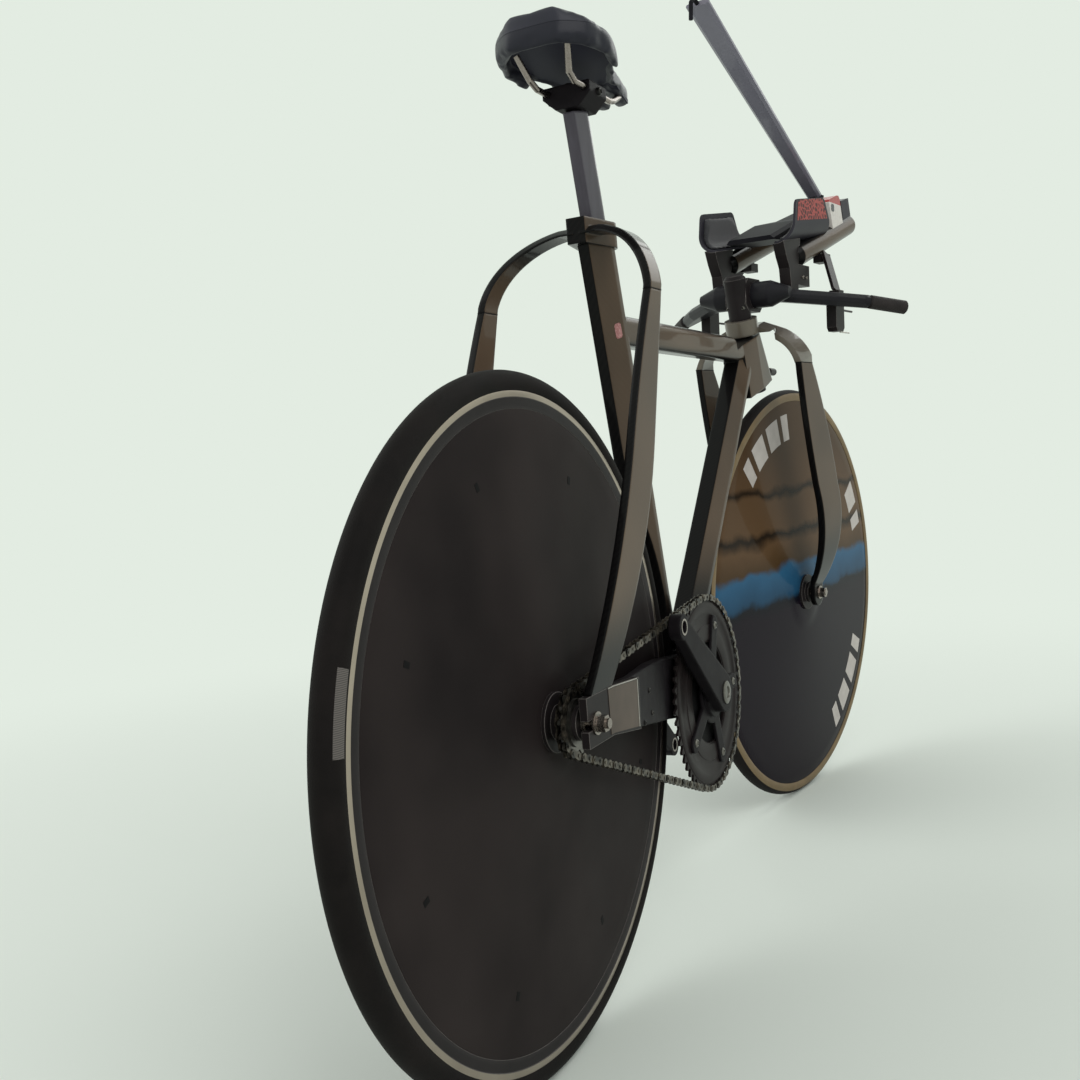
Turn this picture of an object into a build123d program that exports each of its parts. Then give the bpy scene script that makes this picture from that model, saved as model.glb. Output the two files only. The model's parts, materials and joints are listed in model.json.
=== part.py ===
"""Triathlon bike with two solid disc wheels, built as separate pieces in one frame.

+X is forward, +Y is the rider's left and +Z is up. The bike is laid out from
the point where the rear tyre meets the ground, and each piece is then moved so
that the origin is the rider's seat point on top of the saddle.
"""
from build123d import *
import math
import os

# ---- driving dimensions, in millimetres and degrees ----
WHEELBASE = 970.0
REAR_RADIUS = 339.0  # over the tyre
FRONT_RADIUS = 338.0
REAR_TYRE = 28.0  # width of the section
FRONT_TYRE = 25.0
REAR_TRACK_DEPTH = 17.0  # height of the metal brake track of the rear rim

BRACKET_AHEAD = 46.0  # bottom bracket, ahead of the rear tyre's foremost point
BRACKET_DROP = 51.0  # below the rear axle
BRACKET_WIDTH = 70.0
BRACKET_RADIUS = 27.0
CUP_SHELL_RADIUS = 22.0  # bearing cups either side of the bracket

HEAD_ANGLE = 73.5
RAKE = 43.0
PARKED_STEER = -8.6  # the bars rest turned a little to the right
HEAD_LOW = 367.0  # along the steering axis, from the foot of the rake
HEAD_HIGH = 449.0
HEAD_WIDTH = 48.0
HEAD_NOSE_LOW = 59.0  # how far its nose is ahead of the axis, below and above
HEAD_NOSE_HIGH = 28.0
HEAD_TAIL = 65.0

SEAT_ANGLE = 77.6
POST_CHORD = 38.0
POST_WIDTH = 22.0
POST_TAIL = 13.0
SEAT_TUBE_TOP = 846.0
SEAT_TUBE_WIDTH = 34.0
TOP_TUBE_Z = 732.0
TOP_TUBE_WIDTH = 34.0
TOP_TUBE_HEIGHT = 35.0
DOWN_TUBE_WIDTH = 38.0
DOWN_TUBE_CHORD = 50.0
WHEEL_GAP = 9.0  # between the rear tyre and the seat tube's cut-out

REAR_AXLE_WIDTH = 120.0  # between the dropouts
FRONT_AXLE_WIDTH = 72.0
AXLE_RADIUS = 5.0
DROPOUT_THICKNESS = 8.0
RUNNING_GAP = 0.05  # radial clearance of a shaft that turns

STAY_SPREAD = 97.0  # half the width over the middle of the seat stays
STAY_THICKNESS = 8.5
STAY_DEPTH = 30.0  # front to back, at the seam
FORK_SPREAD = 84.0
BLADE_THICKNESS = 10.0

RING_TEETH = 58
COG_TEETH = 15
PITCH = 12.7
TOOTH_THICKNESS = 3.0
CHAINLINE = 45.0
CHAIN_GAP = 4.6  # between the inner faces of the two rows of plates
PLATE_THICKNESS = 2.0
PLATE_HEIGHT = 8.6
PLATE_WAIST = 5.6
PIN_RADIUS = 3.4
CRANK_LENGTH = 165.0
CRANK_ANGLE = 142.0  # right arm, from +X towards +Z
CRANK_INNER = 54.5  # inner face of both arms, from the middle plane
CRANK_THICKNESS = 14.0
SPINDLE_RADIUS = 12.0
PEDAL_THREAD_RADIUS = 7.14

BAR_BEHIND = 158.0  # middle of the base bar behind the front hub, steering straight
BAR_RISE = 480.0  # above the front hub
BAR_SPREAD = 200.0  # half the width over the horns' tips
BAR_REACH = 153.0  # how far forward the tips are
BAR_DROP = 27.5
BAR_RADIUS = 20.0  # round middle of the base bar
BAR_MIDDLE = 44.0  # half the length of the round middle
BAR_SHOULDER = 30.0  # length over which it tapers into the wings
WING_THICKNESS = 20.0
HORN_RADIUS = 8.0
GRIP_RADIUS = 10.5
GRIP_START = 158.0  # distance of the grips' rear ends from the middle plane
ARM_SPREAD = 57.0  # half the width between the extensions
ARM_RADIUS = 17.5
ARM_TILT = 18.3
ARM_LENGTH = 250.0
ARM_AHEAD = 58.0  # rear end of the extensions, ahead of the bar's middle
ARM_RISE = 58.0  # and above it
CUP_RADIUS = 28.0  # outer radius of the cups' rounded bottoms
CUP_SIDE = 24.0  # outer wall of a cup, from the middle of its extension
CUP_HEIGHT = 61.0
CUP_WALL = 3.5
CUP_LENGTH = 162.0
CUP_TILT = 9.0
PAD_THICKNESS = 5.0
RISER_WIDTH = 18.0

SADDLE_LENGTH = 226.0
SADDLE_WIDTH = 132.0
SADDLE_TOP = 1037.0
SADDLE_NOSE_DOWN = 8.0
SADDLE_BEHIND = 125.0  # tail of the saddle, behind the middle of the post's mouth
RIDER_AHEAD = 90.0  # the rider's seat point, ahead of the saddle's tail
POST_TOP = 968.0
RAIL_Z = 986.0

# ---- places worked out from them ----
REAR_HUB = Vector(0, 0, REAR_RADIUS)
FRONT_HUB = Vector(WHEELBASE, 0, FRONT_RADIUS)
BRACKET = Vector(REAR_RADIUS + BRACKET_AHEAD, 0, REAR_RADIUS - BRACKET_DROP)
HEAD_SIN = math.sin(math.radians(HEAD_ANGLE))
HEAD_COS = math.cos(math.radians(HEAD_ANGLE))
STEER_UP = Vector(-HEAD_COS, 0, HEAD_SIN)
STEER_FORWARD = Vector(HEAD_SIN, 0, HEAD_COS)
STEER_FOOT = FRONT_HUB - STEER_FORWARD * RAKE
STEER_AXIS = Axis(STEER_FOOT, STEER_UP)
BAR_X = FRONT_HUB.X - BAR_BEHIND
BAR_Z = FRONT_HUB.Z + BAR_RISE
POST_X = BRACKET.X - 135.0  # middle of the seat post at the seat tube's mouth
SADDLE_TAIL_X = POST_X - SADDLE_BEHIND
RIDER_X = SADDLE_TAIL_X + RIDER_AHEAD
TO_RIDER = Pos(-RIDER_X, 0, -SADDLE_TOP)

FRAME_PARTS = {}
STEERED_PARTS = {}


def ring_about_y(inner, outer, low, high):
    """Tube about the Y axis through the origin, from y = low to y = high."""
    ring = Circle(outer) - Circle(inner) if inner > 0 else Circle(outer)
    return Plane.XZ.offset(-high) * extrude(ring, high - low)


def spin(points):
    """Solid of revolution about Y of an outline of (radius, y) points."""
    return revolve(make_face(Polyline(*points, close=True)), Axis.Y)


def steer_point(along, forward=0.0, left=0.0):
    """Point by its distances along, ahead of and left of the steering axis."""
    return STEER_FOOT + STEER_UP * along + STEER_FORWARD * forward + Vector(0, left, 0)


def steer_x(height):
    """Where the steering axis passes a height above the ground."""
    return steer_point((height - STEER_FOOT.Z) / STEER_UP.Z).X


def aero_section(nose, aft, chord, width, tail):
    """Blunt-tailed teardrop face: round nose at a point, straight flanks, flat tail."""
    plane = Plane(nose, x_dir=aft, z_dir=Vector(aft).cross(Vector(0, 1, 0)))
    round_radius, end = width / 2, tail / 2
    reach = math.hypot(chord - round_radius, end)
    turn = math.atan2(end, chord - round_radius) + math.acos(round_radius / reach)
    touch = (round_radius * (1 + math.cos(turn)), round_radius * math.sin(turn))
    flank = Polyline((touch[0], -touch[1]), (chord, -end), (chord, end), touch)
    nose_arc = ThreePointArc(touch, (0, 0), (touch[0], -touch[1]))
    return plane * make_face(Curve() + [flank, nose_arc])


def aero_tube(nose, tail, width, taper, tail_width):
    """Deep tube from side outlines (x, z) of its nose and tail: round nose, flanks closing in behind."""
    outline = make_face(Polyline(*nose, *tail, close=True))
    tube = Plane.XZ.offset(-width / 2) * extrude(outline, width)

    def along(edges, points):
        middles = [Vector((a[0] + b[0]) / 2, 0, (a[1] + b[1]) / 2) for a, b in zip(points, points[1:])]
        on_line = [(e, Vector(e.center().X, 0, e.center().Z)) for e in edges]
        return [e for e, at in on_line if any((at - middle).length < 1 for middle in middles)]

    for flank in (Axis.Y, -Axis.Y):
        side = tube.faces().sort_by(flank)[-1]
        tube = chamfer(along(side.edges(), tail), taper, (width - tail_width) / 2, reference=side)
    flanks = [e for e in tube.edges() if abs(abs(e.center().Y) - width / 2) < 0.01]
    return fillet(along(flanks, nose), 0.46 * width)


def strip(front, side):
    """Aero strip whose front outline (y, z) and side outline (x, z) are both given."""
    seen_ahead = extrude(Plane.YZ * make_face(front), 2 * WHEELBASE, both=True)
    seen_aside = extrude(Plane.XZ * make_face(side), WHEELBASE, both=True)
    return seen_ahead & seen_aside


def mirrored(shape):
    """The same piece on the other side of the middle plane."""
    return mirror(shape, Plane.XZ)


# ---- rear wheel ----
def wheel_tyre(radius, width):
    """Ring of tyre that stands on the rim's edge."""
    half, seat = width / 2, radius - 0.75 * width
    flank = [(seat, 0.87 * half), (radius - half, half), (radius - 0.42 * half, 0.8 * half),
             (radius, 0.24 * half)]
    return spin(flank + [(r, -y) for r, y in reversed(flank)])


REAR_SEAT = REAR_RADIUS - 0.75 * REAR_TYRE
FRONT_SEAT = FRONT_RADIUS - 0.75 * FRONT_TYRE
REAR_RIM_HALF = 12.2
FRONT_RIM_HALF = 10.9
HUB_SHELL_RADIUS = 24.0
REAR_DISC_HUB_HALF = 24.0
FRONT_DISC_HUB_HALF = 21.0


def disc(outer, edge_half, hub_half):
    """Lens-shaped wheel disc, thickest round the hub, with a bore for the hub."""
    boss = 2.2 * HUB_SHELL_RADIUS
    flank = [(HUB_SHELL_RADIUS, hub_half), (boss, hub_half), (outer, edge_half)]
    return spin(flank + [(r, -y) for r, y in reversed(flank)])


def hub(width, shell_half):
    """Hub shell with two flanges and a bearing barrel, bored for the axle."""
    barrel, flange = 17.0, 29.0
    end = width / 2 - 5.5
    half = [(AXLE_RADIUS + RUNNING_GAP, end), (barrel, end), (barrel, shell_half + 4),
            (flange, shell_half + 4), (flange, shell_half), (HUB_SHELL_RADIUS, shell_half)]
    return spin(half + [(r, -y) for r, y in reversed(half)])


def toothed_disc(teeth, bore, thickness):
    """Sprocket for a roller chain: pointed teeth with a seat between each two."""
    pitch_radius = PITCH / (2 * math.sin(math.pi / teeth))
    outline = []
    for k in range(teeth):
        for share, radius in ((-0.12, pitch_radius + 3.0), (0.12, pitch_radius + 3.0),
                              (0.36, pitch_radius - 3.4), (0.64, pitch_radius - 3.4)):
            turn = 2 * math.pi * (k + share) / teeth
            outline.append((radius * math.cos(turn), radius * math.sin(turn)))
    profile = make_face(Polyline(*outline, close=True)) - Circle(bore)
    return Plane.XZ.offset(-thickness / 2) * extrude(profile, thickness)


rear = {
    "rear_tyre": wheel_tyre(REAR_RADIUS, REAR_TYRE),
    "rear_rim": spin([(REAR_SEAT, REAR_RIM_HALF), (REAR_SEAT - REAR_TRACK_DEPTH, REAR_RIM_HALF),
                      (REAR_SEAT - REAR_TRACK_DEPTH, -REAR_RIM_HALF), (REAR_SEAT, -REAR_RIM_HALF)]),
    "rear_disc": disc(REAR_SEAT - REAR_TRACK_DEPTH, REAR_RIM_HALF - 0.6, REAR_DISC_HUB_HALF),
    "rear_hub": hub(REAR_AXLE_WIDTH, REAR_DISC_HUB_HALF),
    "rear_cog": Pos(0, -CHAINLINE, 0) * toothed_disc(COG_TEETH, 17.0, TOOTH_THICKNESS),
    "rear_lockring": ring_about_y(17.0, 23.0, -CHAINLINE - TOOTH_THICKNESS / 2 - 3.5,
                                  -CHAINLINE - TOOTH_THICKNESS / 2),
}
for name, piece in rear.items():
    FRAME_PARTS[name] = Pos(*REAR_HUB) * piece


def axle(width, reach):
    """Threaded axle with its two cone locknuts against the dropouts."""
    rod = ring_about_y(0, AXLE_RADIUS, -reach, reach)
    nuts = [ring_about_y(AXLE_RADIUS - 1, 9.0, side * width / 2 - (5 if side > 0 else 0),
                         side * width / 2 + (0 if side > 0 else 5)) for side in (1, -1)]
    return rod + nuts


def axle_nuts(face):
    """Pair of hex nuts on washers, clamped against the dropouts' outer faces."""
    washer = ring_about_y(AXLE_RADIUS, 11.0, face, face + 2)
    hexagon = Plane.XZ.offset(-(face + 11)) * extrude(RegularPolygon(8.6, 6) - Circle(AXLE_RADIUS), 9)
    nut = washer + hexagon
    return nut, mirrored(nut)


REAR_FACE = REAR_AXLE_WIDTH / 2 + DROPOUT_THICKNESS
FRONT_FACE = FRONT_AXLE_WIDTH / 2 + DROPOUT_THICKNESS
FRAME_PARTS["rear_axle"] = Pos(*REAR_HUB) * axle(REAR_AXLE_WIDTH, REAR_FACE + 14)
FRAME_PARTS["rear_axle_nuts"] = Compound([Pos(*REAR_HUB) * n for n in axle_nuts(REAR_FACE)])


# ---- frame ----
SEAT_LEAN = 1 / math.tan(math.radians(SEAT_ANGLE))


def post_middle(height):
    """Middle of the seat post at a height above the ground."""
    return Vector(POST_X - (height - SEAT_TUBE_TOP) * SEAT_LEAN, 0, height)


def post_body(low, high, grow=0.0):
    """Straight length of the seat post's aero section, grown by a clearance."""
    up = (post_middle(high) - post_middle(low)).normalized()
    aft = Vector(-up.Z, 0, up.X)
    nose = post_middle(low) - aft * (POST_CHORD / 2 + grow)
    spread = 2 * grow
    face = aero_section(nose, aft, POST_CHORD + spread, POST_WIDTH + spread, POST_TAIL + spread)
    return extrude(face, (post_middle(high) - post_middle(low)).length, dir=up)


SEAT_TUBE_BEND = BRACKET.Z + 319.0  # where the seat tube starts to follow the wheel
SEAT_NOSE = [(POST_X + 22, SEAT_TUBE_TOP), (BRACKET.X - 60, SEAT_TUBE_BEND),
             (BRACKET.X - 21, BRACKET.Z + 132), (BRACKET.X + 17, BRACKET.Z - 3)]
SEAT_TAIL = [(BRACKET.X - 50, BRACKET.Z - 3), (BRACKET.X - 80, BRACKET.Z + 132),
             (BRACKET.X - 122, SEAT_TUBE_BEND), (POST_X - 40, SEAT_TUBE_TOP)]
SEAT_TAPER = 38.0  # length over which its flanks close in
SEAT_TAIL_WIDTH = 13.0
DOWN_LOW = (BRACKET.X + 8, BRACKET.Z + 10)
DOWN_HIGH = (steer_x(TOP_TUBE_Z) - 28, TOP_TUBE_Z - 1)
DOWN_FLARE = 2.0  # extra depth of the down tube at the bracket
TUBE_TAPER = 28.0
TUBE_TAIL_WIDTH = 22.0
HEAD_TAPER = 52.0
HEAD_TAIL_WIDTH = 34.0


def seat_tube():
    """Aero seat tube that follows the rear wheel down to the bottom bracket."""
    return aero_tube(SEAT_NOSE, SEAT_TAIL, SEAT_TUBE_WIDTH, SEAT_TAPER, SEAT_TAIL_WIDTH)


def down_tube():
    """Deep aero tube from the bottom bracket up to the head, flared towards the bracket."""
    run = Vector(DOWN_HIGH[0] - DOWN_LOW[0], DOWN_HIGH[1] - DOWN_LOW[1]).normalized()
    square = Vector(-run.Y, run.X)

    def edge(side):
        half = side * DOWN_TUBE_CHORD / 2
        low, high = Vector(*DOWN_LOW), Vector(*DOWN_HIGH)
        points = (low + square * (half + side * DOWN_FLARE), low + (high - low) * 0.3 + square * half,
                  high + square * half)
        return [(p.X, p.Y) for p in points]

    return aero_tube(edge(-1), edge(1)[::-1], DOWN_TUBE_WIDTH, TUBE_TAPER, TUBE_TAIL_WIDTH)


def top_tube():
    """Level tube from the seat tube to the head, a rounded box in section."""
    start = Vector(POST_X + 30, 0, TOP_TUBE_Z)
    across = Plane(start, x_dir=(0, 1, 0), z_dir=(1, 0, 0))
    face = across * RectangleRounded(TOP_TUBE_WIDTH, TOP_TUBE_HEIGHT, 11)
    return extrude(face, steer_x(TOP_TUBE_Z) - 20 - start.X, dir=(1, 0, 0))


def head_block():
    """Head tube with a round nose, faired back into the top and down tubes."""
    corners = [steer_point(HEAD_HIGH, HEAD_NOSE_HIGH), steer_point(HEAD_LOW, HEAD_NOSE_LOW),
               steer_point(HEAD_LOW, -HEAD_TAIL), steer_point(HEAD_HIGH, -HEAD_TAIL)]
    points = [(p.X, p.Z) for p in corners]
    return aero_tube(points[:2], points[2:], HEAD_WIDTH, HEAD_TAPER, HEAD_TAIL_WIDTH)


STEERER_RADIUS = 14.3
CHAINSTAY_FRONT = BRACKET.X - 33
BRACKET_BOX_HALF = 36.0
BRACKET_BOX_LOW, BRACKET_BOX_HIGH = BRACKET.Z - 24, BRACKET.Z + 58


def bracket_shell():
    """Bottom bracket barrel and the box that the chain stays join."""
    barrel = Pos(*BRACKET) * ring_about_y(0, BRACKET_RADIUS, -BRACKET_WIDTH / 2, BRACKET_WIDTH / 2)
    middle = Pos((CHAINSTAY_FRONT + BRACKET.X) / 2, 0, (BRACKET_BOX_LOW + BRACKET_BOX_HIGH) / 2)
    height = BRACKET_BOX_HIGH - BRACKET_BOX_LOW
    box = middle * Box(BRACKET.X - CHAINSTAY_FRONT, 2 * BRACKET_BOX_HALF - 2, height)
    box = fillet(box.edges().filter_by(Axis.X), 9)
    return barrel + box


def web():
    """Fillet of the carbon in the corner between the seat tube and the down tube."""
    corner = make_face(Polyline((BRACKET.X - 6, BRACKET.Z + 36), (BRACKET.X - 10, BRACKET.Z + 90),
                                (BRACKET.X + 28, BRACKET.Z + 70), close=True))
    return extrude(Plane.XZ * corner, 0.36 * SEAT_TUBE_WIDTH, both=True)


frame = seat_tube() + down_tube() + top_tube() + head_block() + bracket_shell() + web()
wheel_cut = ring_about_y(0, REAR_RADIUS + WHEEL_GAP, -60, 60)
frame -= Pos(*REAR_HUB) * wheel_cut
frame -= post_body(SEAT_TUBE_TOP - 90, SEAT_TUBE_TOP + 40, 0.25)
frame -= Pos(*BRACKET) * ring_about_y(0, SPINDLE_RADIUS + 1, -60, 60)
steer_bore = Plane(steer_point(HEAD_LOW - 20), z_dir=STEER_UP) * extrude(
    Circle(STEERER_RADIUS + RUNNING_GAP), HEAD_HIGH - HEAD_LOW + 60)
frame -= steer_bore
top_cut = Plane(steer_point(HEAD_HIGH), z_dir=STEER_UP) * extrude(Rectangle(190, 120), 60)
frame -= top_cut
FRAME_PARTS["frame_shell"] = frame

bearing_cup = Pos(*BRACKET) * ring_about_y(SPINDLE_RADIUS + RUNNING_GAP, CUP_SHELL_RADIUS, BRACKET_WIDTH / 2,
                                           BRACKET_WIDTH / 2 + 6)
FRAME_PARTS["bracket_cups"] = Compound([bearing_cup, mirrored(bearing_cup)])


STAY_OUTER = STAY_SPREAD + STAY_THICKNESS / 2
STAY_INNER = STAY_SPREAD - STAY_THICKNESS / 2
STAY_SEAM = 755.0  # height of the joint between the yoke and the stays
DROPOUT_INNER = REAR_AXLE_WIDTH / 2
DROPOUT_TOP = REAR_HUB.Z + 27.0
YOKE_TOP = SEAT_TUBE_TOP + 2.0
SEAM_BACK = POST_X - 104.0  # rear edge of the stays at the seam


def stay_arch():
    """Left arm of the yoke: out from the seat tube and over to the stay."""
    over, under = SEAT_TUBE_TOP - 6, SEAT_TUBE_TOP - 14
    front = Curve() + [
        Line((STAY_INNER, STAY_SEAM), (STAY_OUTER, STAY_SEAM)),
        Line((STAY_OUTER, STAY_SEAM), (STAY_OUTER, STAY_SEAM + 6)),
        ThreePointArc((STAY_OUTER, STAY_SEAM + 6), (STAY_OUTER - 24, over - 30), (24, over)),
        Line((24, over), (4, over)), Line((4, over), (4, under)), Line((4, under), (22, under)),
        ThreePointArc((22, under), (STAY_INNER - 22, under - 27), (STAY_INNER, STAY_SEAM + 5)),
        Line((STAY_INNER, STAY_SEAM + 5), (STAY_INNER, STAY_SEAM))]
    front_low, front_high = (SEAM_BACK + STAY_DEPTH, STAY_SEAM), (POST_X + 8, YOKE_TOP)
    back_low, back_high = (SEAM_BACK, STAY_SEAM), (POST_X - 30, YOKE_TOP)
    side = Curve() + [
        Line(back_low, front_low),
        ThreePointArc(front_low, (POST_X - 51, STAY_SEAM + 45), front_high),
        Line(front_high, back_high),
        ThreePointArc(back_high, (POST_X - 81, STAY_SEAM + 47), back_low)]
    return strip(front, side)


def seat_stay():
    """Left blade from the yoke down to the dropout."""
    bend = STAY_SEAM - 155
    front = Curve() + [
        Line((STAY_INNER, STAY_SEAM), (STAY_OUTER, STAY_SEAM)),
        Line((STAY_OUTER, STAY_SEAM), (STAY_OUTER, bend)),
        ThreePointArc((STAY_OUTER, bend), (STAY_OUTER - 10, DROPOUT_TOP + 104), (REAR_FACE, DROPOUT_TOP)),
        Line((REAR_FACE, DROPOUT_TOP), (DROPOUT_INNER, DROPOUT_TOP)),
        ThreePointArc((DROPOUT_INNER, DROPOUT_TOP), (STAY_INNER - 10, DROPOUT_TOP + 104), (STAY_INNER, bend)),
        Line((STAY_INNER, bend), (STAY_INNER, STAY_SEAM))]
    front_high, back_high = (SEAM_BACK + STAY_DEPTH, STAY_SEAM), (SEAM_BACK, STAY_SEAM)
    side = Curve() + [
        Line((-7, DROPOUT_TOP), (43, DROPOUT_TOP)),
        ThreePointArc((43, DROPOUT_TOP), (POST_X - 143, DROPOUT_TOP + 184), front_high),
        Line(front_high, back_high),
        ThreePointArc(back_high, (POST_X - 188, DROPOUT_TOP + 219), (-7, DROPOUT_TOP))]
    return strip(front, side)


collar_low = SEAT_TUBE_TOP - 24.0
collar = extrude(aero_section((POST_X + 31, 0, collar_low), (-1, 0, 0), 82, SEAT_TUBE_WIDTH + 8, 22),
                 YOKE_TOP + 2 - collar_low, dir=(0, 0, 1))
arch = stay_arch()
yoke = collar + arch + mirrored(arch)
yoke -= seat_tube()
yoke -= post_body(SEAT_TUBE_TOP - 60, SEAT_TUBE_TOP + 40, 0.05)
yoke = Part() + [max(yoke.solids(), key=lambda s: s.volume)]
FRAME_PARTS["stay_yoke"] = yoke
FRAME_PARTS["seatstay_left"] = seat_stay()
FRAME_PARTS["seatstay_right"] = mirrored(seat_stay())


STAY_START = 112.0  # where the chain stays leave the dropouts' outlines


def dropout():
    """Left track-end plate, with a slot open to the rear for the axle."""
    low = REAR_HUB.Z - 21
    outline = make_face(Polyline((-18, DROPOUT_TOP), (44, DROPOUT_TOP), (STAY_START, DROPOUT_TOP - 5),
                                 (STAY_START - 4, low - 10), (40, low), (-18, low), close=True))
    plate = Plane.XZ.offset(-REAR_FACE) * extrude(outline, DROPOUT_THICKNESS)
    slot = Pos(-12, REAR_FACE - DROPOUT_THICKNESS / 2, REAR_HUB.Z) * Box(24, 40, 2 * AXLE_RADIUS + 0.2)
    round_end = Pos(0, REAR_FACE, REAR_HUB.Z) * ring_about_y(0, AXLE_RADIUS + 0.1, -30, 20)
    return plate - slot - round_end


def chain_stay():
    """Left deep box-section stay from the dropout to the bracket box."""
    plan = make_face(Polyline((56, DROPOUT_INNER), (STAY_START, DROPOUT_INNER), (205, 47.5),
                              (CHAINSTAY_FRONT - 90, 37.5), (CHAINSTAY_FRONT, BRACKET_BOX_HALF - 1),
                              (CHAINSTAY_FRONT, 20.5), (CHAINSTAY_FRONT - 90, 23), (195, 36),
                              (STAY_START, 51), (56, 51), close=True))
    side = make_face(Polyline((56, REAR_HUB.Z - 19), (56, DROPOUT_TOP - 4), (STAY_START, DROPOUT_TOP - 5),
                              (200, DROPOUT_TOP - 8), (CHAINSTAY_FRONT, BRACKET_BOX_HIGH - 4),
                              (CHAINSTAY_FRONT, BRACKET_BOX_LOW + 2), (STAY_START, REAR_HUB.Z - 31),
                              close=True))
    return extrude(plan, 2 * WHEELBASE, both=True) & extrude(Plane.XZ * side, WHEELBASE, both=True)


FRAME_PARTS["dropout_left"] = dropout()
FRAME_PARTS["dropout_right"] = mirrored(dropout())
FRAME_PARTS["chainstay_left"] = chain_stay()
FRAME_PARTS["chainstay_right"] = mirrored(chain_stay())
FRAME_PARTS["seat_post"] = post_body(SEAT_TUBE_TOP - 88, POST_TOP)


# ---- saddle ----
SADDLE_SKIRT = 38.0  # depth of the pad's sides
SADDLE_WALL = 9.0
SADDLE_CROWN = 15.0  # thickness of the pad over the base
SADDLE_BASE = 5.0
SADDLE_CREST = 24.0  # half the width of the flat top
SADDLE_FALL = 13.0  # how far the top falls away to the sides


def saddle_plan(inset=0.0):
    """Plan of the short split-nose saddle, drawn in from its edge by an inset."""
    wide = SADDLE_WIDTH / 2 - inset
    left = [(inset, 0.45 * wide), (0.1 * SADDLE_LENGTH + inset, 0.85 * wide), (0.27 * SADDLE_LENGTH, wide),
            (0.46 * SADDLE_LENGTH, 0.84 * wide), (0.66 * SADDLE_LENGTH, 0.5 * wide),
            (SADDLE_LENGTH - inset, 0.33 * wide)]
    outline = make_face(Polyline(*left, *[(x, -y) for x, y in reversed(left)], close=True))
    slot = Pos(SADDLE_LENGTH, 0) * Rectangle(0.62 * SADDLE_LENGTH, 14 + 2 * inset)
    return outline - slot


def saddle_place(shape):
    """Set a piece drawn from the tail, with the top at zero, in place on the bike."""
    seat = Vector(RIDER_X - SADDLE_TAIL_X, 0, 0)
    return Pos(RIDER_X, 0, SADDLE_TOP) * Rot(0, SADDLE_NOSE_DOWN, 0) * Pos(-seat.X, 0, 0) * shape


pad = Plane.XY.offset(-SADDLE_SKIRT) * extrude(saddle_plan(), SADDLE_SKIRT)
hollow = Plane.XY.offset(-SADDLE_SKIRT) * extrude(saddle_plan(SADDLE_WALL), SADDLE_SKIRT - SADDLE_CROWN)
nose_cut = Pos(SADDLE_LENGTH, 0, -SADDLE_SKIRT) * Box(1.1 * SADDLE_LENGTH, SADDLE_WIDTH, 28)
left_fall = [(SADDLE_CREST, 0), (SADDLE_WIDTH / 2, -SADDLE_FALL), (SADDLE_WIDTH, -SADDLE_SKIRT)]
dome = make_face(Polyline(*[(-y, z) for y, z in reversed(left_fall)], *left_fall, close=True))
pad = (pad - hollow - nose_cut) & extrude(Plane.YZ * dome, 2 * SADDLE_LENGTH, both=True)
base = Plane.XY.offset(-SADDLE_CROWN - SADDLE_BASE) * extrude(saddle_plan(SADDLE_WALL), SADDLE_BASE)
FRAME_PARTS["saddle_pad"] = saddle_place(pad)
FRAME_PARTS["saddle_base"] = saddle_place(base)

RAIL_SPREAD = 22.0
RAIL_RADIUS = 3.5


def saddle_rail():
    """Left rail: down from the tail, level through the clamp, up to the nose."""
    points = [(24, RAIL_SPREAD + 8, SADDLE_TOP - 21), (38, RAIL_SPREAD + 1, RAIL_Z + 6),
              (52, RAIL_SPREAD, RAIL_Z), (144, RAIL_SPREAD, RAIL_Z), (158, RAIL_SPREAD - 1, RAIL_Z + 3),
              (190, RAIL_SPREAD - 5, RAIL_Z + 16)]
    path = Polyline(*[(SADDLE_TAIL_X + x, y, z) for x, y, z in points])
    rod = sweep(Plane(path @ 0, z_dir=path % 0) * Circle(RAIL_RADIUS), path=path, transition=Transition.RIGHT)
    rod = rod - FRAME_PARTS["saddle_base"] - FRAME_PARTS["saddle_pad"]
    return max(rod.solids(), key=lambda s: s.volume)


rail = saddle_rail()
FRAME_PARTS["saddle_rails"] = Compound([rail, mirrored(rail)])
clamp_middle = post_middle(POST_TOP)
clamp_face = make_face(Polyline((-28, RAIL_Z + 7), (28, RAIL_Z + 7), (28, RAIL_Z - 5), (14, POST_TOP),
                                (-14, POST_TOP), (-28, RAIL_Z - 5), close=True))
clamp = Pos(clamp_middle.X + 2, 0, 0) * extrude(Plane.YZ * clamp_face, 23, both=True)
clamp -= post_body(POST_TOP - 20, POST_TOP)
for side in (1, -1):
    clamp -= Pos(clamp_middle.X, side * RAIL_SPREAD, RAIL_Z) * Rot(0, 90, 0) * Cylinder(RAIL_RADIUS, 120)
FRAME_PARTS["saddle_clamp"] = clamp


# ---- chain and cranks ----
RING_PITCH_RADIUS = PITCH / (2 * math.sin(math.pi / RING_TEETH))
COG_PITCH_RADIUS = PITCH / (2 * math.sin(math.pi / COG_TEETH))


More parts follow.
